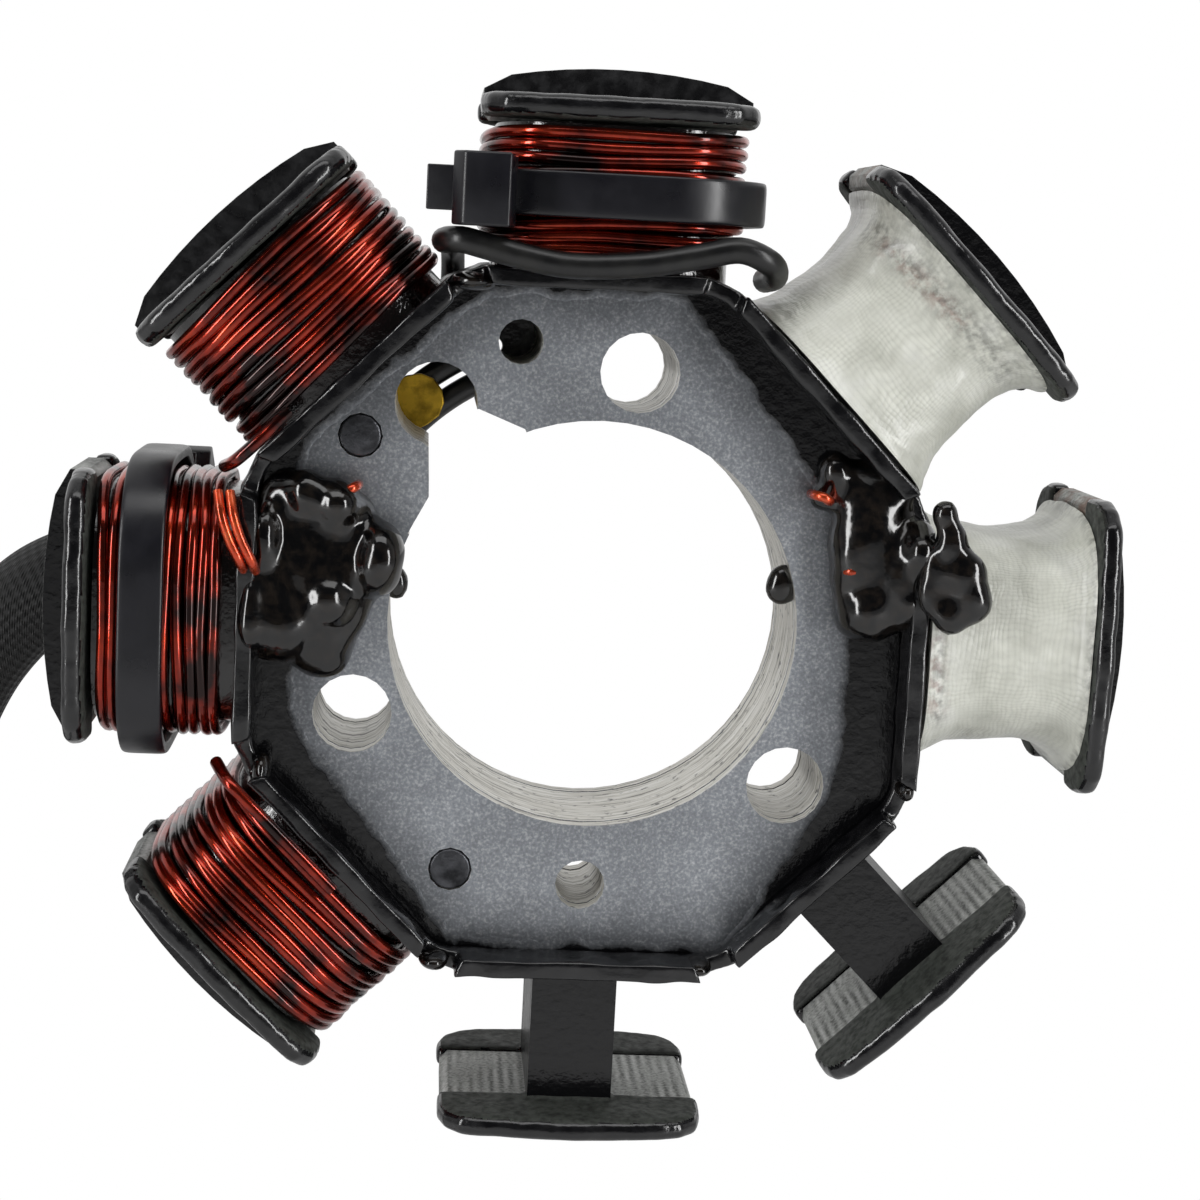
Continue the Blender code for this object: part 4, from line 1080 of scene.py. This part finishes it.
@dataclass
class Resin:
    """Resin cast over the soldered joints, and the varnish that ran along the guards."""

    def bead(self, name: str, lumps: Iterable[tuple[float, ...]], material: Material,
             replaced: Sequence[str] = (), floor: float | None = None, rounds: int = 40) -> None:
        """Run lumps together into one smooth bead.

        Args:
            name: the piece's name.
            lumps: x, y, z and three half sizes of each, in millimetres.
            material: its finish.
            replaced: CAD nodes that it stands for.
            floor: level along Y of the face it sits on, in millimetres.
            rounds: how often the bead is smoothed.
        """
        shape = bmesh.new()
        for x, y, z, wide, deep, high in lumps:
            place = Matrix.Translation(Vector((x, y, z)) * MM) @ Matrix.Diagonal((wide * MM, deep * MM,
                                                                                  high * MM, 1.0))
            bmesh.ops.create_icosphere(shape, subdivisions=3, radius=1.0, matrix=place)
        done = melt(shape, 0.28, rounds, 0.18)
        if floor is not None:
            everything = [*done.verts, *done.edges, *done.faces]
            bmesh.ops.bisect_plane(done, geom=everything, dist=1e-7, plane_co=(0, floor * MM, 0),
                                   plane_no=(0, math.copysign(1.0, floor), 0), clear_inner=True)
            bmesh.ops.holes_fill(done, edges=[edge for edge in done.edges if edge.is_boundary])
            bmesh.ops.recalc_face_normals(done, faces=done.faces)
        add_mesh(name, done, material, replaced, 60)

    def build(self, material: Material, wire: Material) -> None:
        """Cast the beads, set the wire ends in them and drop the varnish.

        Args:
            material: the resin's finish.
            wire: finish of the wire ends.
        """
        self.bead("resin_left",
                  [(-23.9, -15.6, 10.2, 2.0, 2.6, 2.2), (-21.4, -15.9, 9.6, 2.0, 2.8, 2.2),
                   (-17.9, -15.8, 5.2, 2.1, 3.3, 3.3), (-23.3, -15.0, 7.2, 3.9, 2.6, 2.4),
                   (-21.9, -15.6, 1.8, 2.5, 3.4, 2.7), (-25.4, -15.4, -0.3, 3.0, 3.6, 3.5),
                   (-22.6, -14.6, -2.9, 2.9, 2.2, 2.3), (-24.2, -14.8, 4.0, 3.8, 3.2, 4.8),
                   (-20.6, -14.4, 5.0, 2.8, 2.6, 3.0), (-28.0, -17.6, 0.4, 1.3, 1.7, 3.4),
                   (-27.2, -16.4, 6.0, 1.5, 2.2, 3.6), (-25.6, -15.0, 9.2, 2.4, 2.0, 3.0),
                   (-24.0, -14.6, 4.0, 4.8, 2.9, 7.6), (-20.6, -14.4, 7.0, 2.8, 2.9, 3.8),
                   (-26.6, -15.0, 1.0, 2.6, 3.6, 5.0), (-23.0, -14.9, 3.6, 5.2, 3.0, 7.4),
                   (-19.6, -14.6, 4.2, 2.6, 3.0, 3.4), (-22.6, -14.6, -0.8, 3.4, 2.8, 4.2), ], material,
                  ["resin_bead_left"], -FLOOR_MM)
        self.bead("resin_right",
                  [(19.3, -14.8, 13.7, 1.5, 1.9, 1.9), (21.6, -14.2, 12.0, 2.8, 2.0, 3.0),
                   (21.6, -14.2, 8.4, 2.3, 2.2, 3.0), (26.3, -15.6, 7.6, 2.0, 3.8, 2.9),
                   (22.8, -14.8, 2.5, 3.1, 3.4, 3.0), (24.0, -14.4, 7.4, 2.6, 2.2, 4.4),
                   (18.4, -14.4, 11.6, 1.3, 1.2, 1.3), (21.0, -15.0, 5.6, 1.2, 1.6, 1.2),
                   (25.6, -15.4, 3.4, 1.9, 3.2, 2.6), (24.2, -15.0, 12.0, 2.2, 1.8, 2.6),
                   (22.8, -14.4, 7.6, 3.4, 2.6, 6.4), (25.2, -15.2, 5.6, 2.6, 3.4, 4.4),
                   (22.6, -14.9, 7.6, 3.6, 2.9, 6.6), (22.0, -14.4, 11.4, 3.0, 2.4, 3.2), ], material,
                  ["resin_bead_right"], -FLOOR_MM)
        self.bead("resin_lobe",
                  [(27.9, -18.7, 11.1, 1.2, 1.3, 1.5), (28.6, -18.9, 8.9, 1.4, 1.4, 2.0),
                   (29.8, -19.0, 6.4, 2.0, 1.5, 2.2), (30.6, -19.0, 4.2, 1.9, 1.6, 2.2),
                   (28.9, -18.8, 3.0, 1.7, 1.3, 1.9), (27.3, -18.6, 5.6, 1.4, 1.1, 3.2), ], material,
                  ["resin_lobe_right"])
        self.bead("resin_rear",
                  [(-4.8, 0.8, 22.4, 2.6, 3.4, 2.6), (-6.6, 0.6, 20.6, 2.2, 2.8, 2.2),
                   (-7.4, 0.6, 24.2, 2.0, 2.6, 1.8), ], material, ["resin_bead_rear"], 0.05)
        self.bead("varnish_drops",
                  [(15.9, -12.6, 3.9, 1.5, 1.0, 1.8), (-16.5, -12.8, 2.8, 1.0, 0.9, 1.4),
                   (26.7, -16.4, -12.4, 0.8, 2.1, 1.0), (10.2, -16.5, -28.3, 1.2, 1.9, 0.8),
                   (-12.2, -16.5, -28.3, 1.3, 1.9, 0.8), (-11.2, -16.3, 28.0, 1.9, 2.0, 0.8),
                   (-26.9, -16.0, -13.0, 0.8, 2.0, 1.8), ], material, rounds=6)
        for i, (x, z, degrees) in enumerate(((18.1, 11.7, 20.0), (21.0, 5.7, 0.0), (-20.4, 10.6, -40.0)), 1):
            about = Matrix.Translation((x, 0, z)) @ Matrix.Rotation(math.radians(degrees), 4, "Y")
            ends = ((-0.7, -14.8, 0.0), (-0.6, -16.4, 0.1), (0.0, -17.0, 0.2), (0.6, -16.5, 0.1),
                    (0.7, -14.9, 0.0))
            add_tube(f"splice_end_{i}", smooth_route([about @ Vector(end) for end in ends], 0.2), 0.42, wire)


@dataclass
class Leads:
    """Insulated leads and bare crossover wires held by the core. Millimetres."""

    radius: float = 1.05
    level: float = 2.5
    mouth: float = 9.8
    coil_front: float = -18.8
    wire_radius: float = 0.525

    def around(self, radius: float, start: float, stop: float, level: float,
               count: int) -> list[tuple[float, float, float]]:
        """Points along an arc about the axis, at one level."""
        angles = [start + (stop - start) * i / max(1, count - 1) for i in range(count)]
        return [(x, level, z) for x, z in (polar(radius, angle) for angle in angles)]

    def build(self, rubber: Material, wire: Material, bright: Material) -> None:
        """Lay the leads and the wires.

        Args:
            rubber: the leads' finish.
            wire: the crossover wires' finish.
            bright: finish of the last turns that catch the light.
        """
        m, v = self.mouth, self.level
        inner = [(-27.1, m - 0.4, -1.6), (-26.2, m - 0.6, -1.6), (-23.6, m - 2.4, -1.0),
                 (-21.6, v + 2.3, 1.2), (-20.8, v + 0.7, 4.2)]
        inner += self.around(21.4, 158, 113, v, 7)
        middle = [(-27.1, m - 1.8, 1.4), (-26.2, m - 2.1, 1.6), (-24.6, m - 4.0, 3.0), (-23.6, v + 1.3, 5.2)]
        middle += self.around(23.9, 158, 113.5, v, 7)
        front = self.coil_front - GAP_MM - self.radius
        over = GAP_MM + GUARD_MM + GAP_MM + self.radius + 0.4
        outer = [(-27.1, m + 0.9, 2.8), (-26.3, m + 0.7, 3.1), (-25.9, m - 0.8, 4.6), (-25.9, m - 3.4, 6.4),
                 (-25.2, v + 1.1, 8.4)]
        outer += self.around(26.4, 158, 132, v, 3)
        outer += self.around(26.8, 124, 124, over - 1.4, 1) + self.around(29.0, 116.5, 116.5, over, 1)
        outer += self.around(33.2, 112.8, 112.8, over - 2.2, 1) + self.around(33.9, 113.4, 113.4, -4.0, 1)
        outer += [(x, front + back, 31.5 - drop) for x, back, drop in (
            (-13.7, 5.0, 0.4), (-13.2, 1.2, 0.3), (-12.2, 0.0, 0.3), (-10.4, 0.0, 0.7), (-7.7, 0.0, 1.3),
            (-4.5, 0.0, 1.8), (-1.4, 0.0, 1.8), (2.6, 0.0, 1.4), (6.6, 0.0, 0.6), (9.7, 0.0, 0.0),
            (12.2, 0.8, 0.9), (13.1, 4.0, 1.9), (13.0, 9.0, 2.3))]
        for name, route in (("rear_lead_inner", inner), ("rear_lead_middle", middle),
                            ("exciter_lead", outer)):
            add_tube(f"rubber_{name}", smooth_route(route, 0.5), self.radius, rubber, [name], 7)
        o = self.coil_front - GAP_MM - self.wire_radius
        upper = [(-30.6, o + 3.4, 12.2), (-29.6, o + 0.6, 12.9), (-28.4, o, 14.0), (-27.2, o, 15.2),
                 (-26.2, o + 0.1, 16.3), (-25.4, o + 0.3, 17.1)]
        lower = [(-30.6, o + 3.4, -12.2), (-29.4, o + 0.5, -13.1), (-28.0, o, -14.4), (-26.0, o, -16.4),
                 (-23.4, o, -19.0), (-20.6, o, -21.8)]
        for name, route in (("crossover_wire_upper", upper), ("crossover_wire_lower", lower)):
            add_tube(f"enamelled_{name}", smooth_route(route, 0.3), self.wire_radius, wire, [name], 5)
        # The last turns get the brighter copper as a painted highlight.
        for i, shift in enumerate((0.0, 0.95)):
            route = [(-30.9 + shift, o + 1.2, 10.4), (-30.5 + shift, o + 0.35, 8.6),
                     (-29.8 + shift, o + 0.3, 6.6), (-29.0 + shift, o + 0.5, 5.0),
                     (-28.7 + shift, o + 1.6, 4.0)]
            add_tube(f"last_turn_{i + 1}", smooth_route(route, 0.3), 0.4, bright, (), 5)


@dataclass
class Harness:
    """The braided sleeve, the leads that leave it and the connector. Millimetres."""

    depth: float = 9.8
    sleeve_radius: float = 4.7
    lead_radius: float = 1.05
    end: tuple[float, float] = (-61.0, -80.0)
    flat_route: tuple[tuple[float, float], ...] = (
        (-28.0, 0.4), (-32.0, 0.5), (-38.0, 0.2), (-44.0, -0.6), (-49.6, -3.2), (-54.2, -8.2), (-57.4, -14.6),
        (-59.4, -22.0), (-60.6, -32.0), (-61.2, -44.0), (-61.4, -56.0), (-61.2, -68.0), (-61.0, -80.0))

    def braid(self, points: Sequence[Vector], material: Material) -> Object:
        """Plait the sleeve as a tube that is slightly crumpled over its leads.

        Args:
            points: its centreline, in metres.
            material: its finish.

        Returns:
            The sleeve.
        """
        ahead = [(b - a).normalized() for a, b in zip(points, points[1:])]
        ahead = [ahead[0], *[(a + b).normalized() for a, b in zip(ahead, ahead[1:])], ahead[-1]]
        last = len(points) - 1
        length = sum((b - a).length for a, b in zip(points, points[1:])) / MM
        depth = Vector((0, 1, 0))

        def skin(around: float, along: float) -> Vector:
            """Point of the sleeve's surface, in millimetres."""
            at = round(along * last)
            turn = 2 * math.pi * around
            out = depth * math.cos(turn) + ahead[at].cross(depth) * math.sin(turn)
            sample = points[at] * 60 + out * 0.9
            sag = noise.noise(sample) * 0.24 + noise.noise(sample * 2.7) * 0.08
            return points[at] / MM + out * (self.sleeve_radius - 0.26 + sag)

        whole = 2 * BRAID_FINISH.strand_mm
        shape = wrapped(72, last, (round(2 * math.pi * self.sleeve_radius / whole) * whole, length), skin)
        return add_mesh("braided_sleeve", shape, material, ["harness_sleeve"], 80)

    def build(self, rubber: Material, braid: Material, shell: Material) -> None:
        """Plait the sleeve, lay its leads and mould the connector.

        Args:
            rubber: finish of the insulation.
            braid: finish of the sleeve.
            shell: finish of the connector.
        """
        points = smooth_route([(x, self.depth, z) for x, z in self.flat_route], 0.4)
        sleeve = self.braid(points, braid)
        housing = add_mesh("connector", node_copy(NODES["connector_housing"]), shell,
                           ["connector_housing"])
        round_edges(housing, 0.3, 2)
        x, z = self.end
        for i, side in enumerate((-0.5, 0.5), 1):
            for j, row in enumerate((-0.5, 0.5)):
                start = Vector((x + side * 2.6, self.depth + row * 2.6, z - 0.3))
                stop = Vector((x + side * 5.0, self.depth + row * 3.5, z - 23.7))
                low, high = start - Vector((0, 0, 5)), stop + Vector((0, 0, 6))
                name = f"tail_lead_{2 * i - 1 + j}"
                path = smooth_route([start, low, (low + high) / 2, high, stop], 0.6)
                add_tube(f"rubber_{name}", path, self.lead_radius, rubber, [name], 6)


@dataclass
class Studio:
    """White backdrop, dark room in front of it, soft boxes and the camera."""

    focal_mm: float = 70.84
    place: tuple[float, float, float] = (-0.01472, -0.20765, 0.03102)
    yaw: float = -0.0703
    pitch: float = -0.1511
    roll_deg: float = -3.0
    floor_level: float = -0.135

    def build(self) -> None:
        """Stand the camera, hang the lamps, fill the world and lay the floor."""
        self.camera()
        for name, place, size, power in (
                ("box_left", (-0.42, -0.30, 0.10), (0.08, 0.42), 1.5),
                ("box_right", (0.40, -0.34, 0.08), (0.09, 0.42), 1.6),
                ("box_top", (0.02, -0.22, 0.50), (0.60, 0.22), 1.0),
                ("box_low", (0.0, -0.38, -0.38), (0.60, 0.30), 3.0)):
            self.lamp(name, place, size, power)
        self.surround()
        self.floor()

    def camera(self) -> None:
        """Stand the camera where the photograph was taken from."""
        lens = bpy.data.cameras.new("camera")
        lens.lens = self.focal_mm
        lens.sensor_width = 36.0
        lens.clip_start = 0.01
        made = bpy.data.objects.new("camera", lens)
        turn = (Matrix.Rotation(math.radians(self.roll_deg), 4, "Y") @ Matrix.Rotation(self.yaw, 4, "Z")
                @ Matrix.Rotation(self.pitch, 4, "X") @ Matrix.Rotation(math.radians(90), 4, "X"))
        made.matrix_world = Matrix.Translation(self.place) @ turn
        bpy.context.collection.objects.link(made)
        bpy.context.scene.camera = made

    def lamp(self, name: str, place: tuple[float, float, float], size: tuple[float, float],
             power: float) -> None:
        """Hang a soft box that looks at the stator.

        Args:
            name: its name.
            place: where it hangs, in metres.
            size: its width and height, in metres.
            power: its power in watts.
        """
        light = bpy.data.lights.new(name, "AREA")
        light.shape = "RECTANGLE"
        light.size, light.size_y = size
        light.energy = power
        made = bpy.data.objects.new(name, light)
        made.location = place
        made.rotation_euler = (-Vector(place)).to_track_quat("-Z", "Y").to_euler()
        bpy.context.collection.objects.link(made)

    def surround(self) -> None:
        """Fill the world with white behind the stator, and a dim room before it."""
        world = bpy.data.worlds.new("surround")
        bpy.context.scene.world = world
        world.use_nodes = True
        tree = Tree(world.node_tree)
        tree.tree.nodes.clear()
        path = tree.add("LightPath", out=None)
        shown = tree.add("Math", path["Is Camera Ray"], path["Is Transmission Ray"], operation="MAXIMUM")
        axes = tree.add("SeparateXYZ", {0: tree.add("TexCoord", out="Generated")}, out=None)
        room = tree.add("ValToRGB", tree.add("MapRange", axes["Y"], -1.0, 1.0),
                        stops=[(0.0, 0.05), (0.28, 0.1), (0.5, 0.55), (0.62, 1.0)])
        lit = tree.add("Background", {"Strength": 0.8, "Color": room})
        white = tree.add("Background", {"Color": (1, 1, 1, 1), "Strength": 1.0})
        both = tree.add("MixShader", {0: shown, 1: lit, 2: white})
        tree.add("OutputWorld", {"Surface": both}, out=None)

    def floor(self) -> None:
        """Lay a white floor under the connector, white to the camera."""
        shape = bmesh.new()
        bmesh.ops.create_grid(shape, x_segments=1, y_segments=1, size=3.0)
        bmesh.ops.translate(shape, vec=(0, 0, self.floor_level), verts=shape.verts)
        mesh = bpy.data.meshes.new("floor")
        shape.to_mesh(mesh)
        shape.free()
        made = bpy.data.objects.new("floor", mesh)
        bpy.context.collection.objects.link(made)
        paper = bpy.data.materials.new("white_paper")
        paper.use_nodes = True
        tree = Tree(paper.node_tree)
        tree.tree.nodes.clear()
        shown = tree.add("LightPath", out="Is Camera Ray")
        sheet = tree.add("BsdfDiffuse", {"Color": linear("#d8d8d8")})
        glow = tree.add("Emission", {"Color": (1, 1, 1, 1), "Strength": 1.0})
        tree.add("OutputMaterial", {"Surface": tree.add("MixShader", {0: shown, 1: sheet, 2: glow})},
                 out=None)
        mesh.materials.append(paper)


def main() -> None:
    """Dress the stator and set the studio."""
    logging.basicConfig(level=logging.INFO)
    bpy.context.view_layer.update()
    bpy.context.scene.view_settings.view_transform = "Standard"
    Studio().build()
    rubber, wire, bright = LEAD_FINISH.make(), WIRE_FINISH.make(), BRIGHT_FINISH.make()
    Harness().build(rubber, BRAID_FINISH.make(), SHELL_FINISH.make())
    Core().build()
    deep = SHADED_WINDING_FINISH.make()
    for place, degrees, seed in (("top", 90, 1.0), ("upper_left", 135, 2.3),
                                 ("left", 180, 3.9), ("lower_left", 225, 5.2)):
        OpenCoil(place, degrees, seed).build(wire, deep)
    tape = TAPE_FINISH.make()
    TapedCoil("upper_right", 45, 4.0,
              ((22.0, 32.3, 28.1, 26.9, 1.3, 0), (20.1, 34.9, 32.4, 23.1, 2.2, 1))).build(tape, deep)
    TapedCoil("right", 0, 8.0, ((27.8, 0.7, 28.5, -4.9, 1.5, 0), (28.4, 1.0, 28.8, -6.0, 1.2, 1))).build(tape,
                                                                                                         deep)
    nylon = NYLON_FINISH.make()
    Tie("top", 90, 35.2, 262.0).build(nylon)
    Tie("left", 180, 36.7, 31.0, ((0.2, 9.8, 4.7),)).build(nylon)
    Leads().build(rubber, wire, bright)
    Resin().build(RESIN_FINISH.make(), bright)
    tag = add_mesh("brass_tag", node_copy(NODES["earth_tag"]), BRASS_FINISH.make(), ["earth_tag"])
    round_edges(tag, 0.12, 2)


if __name__ == "__main__":
    main()
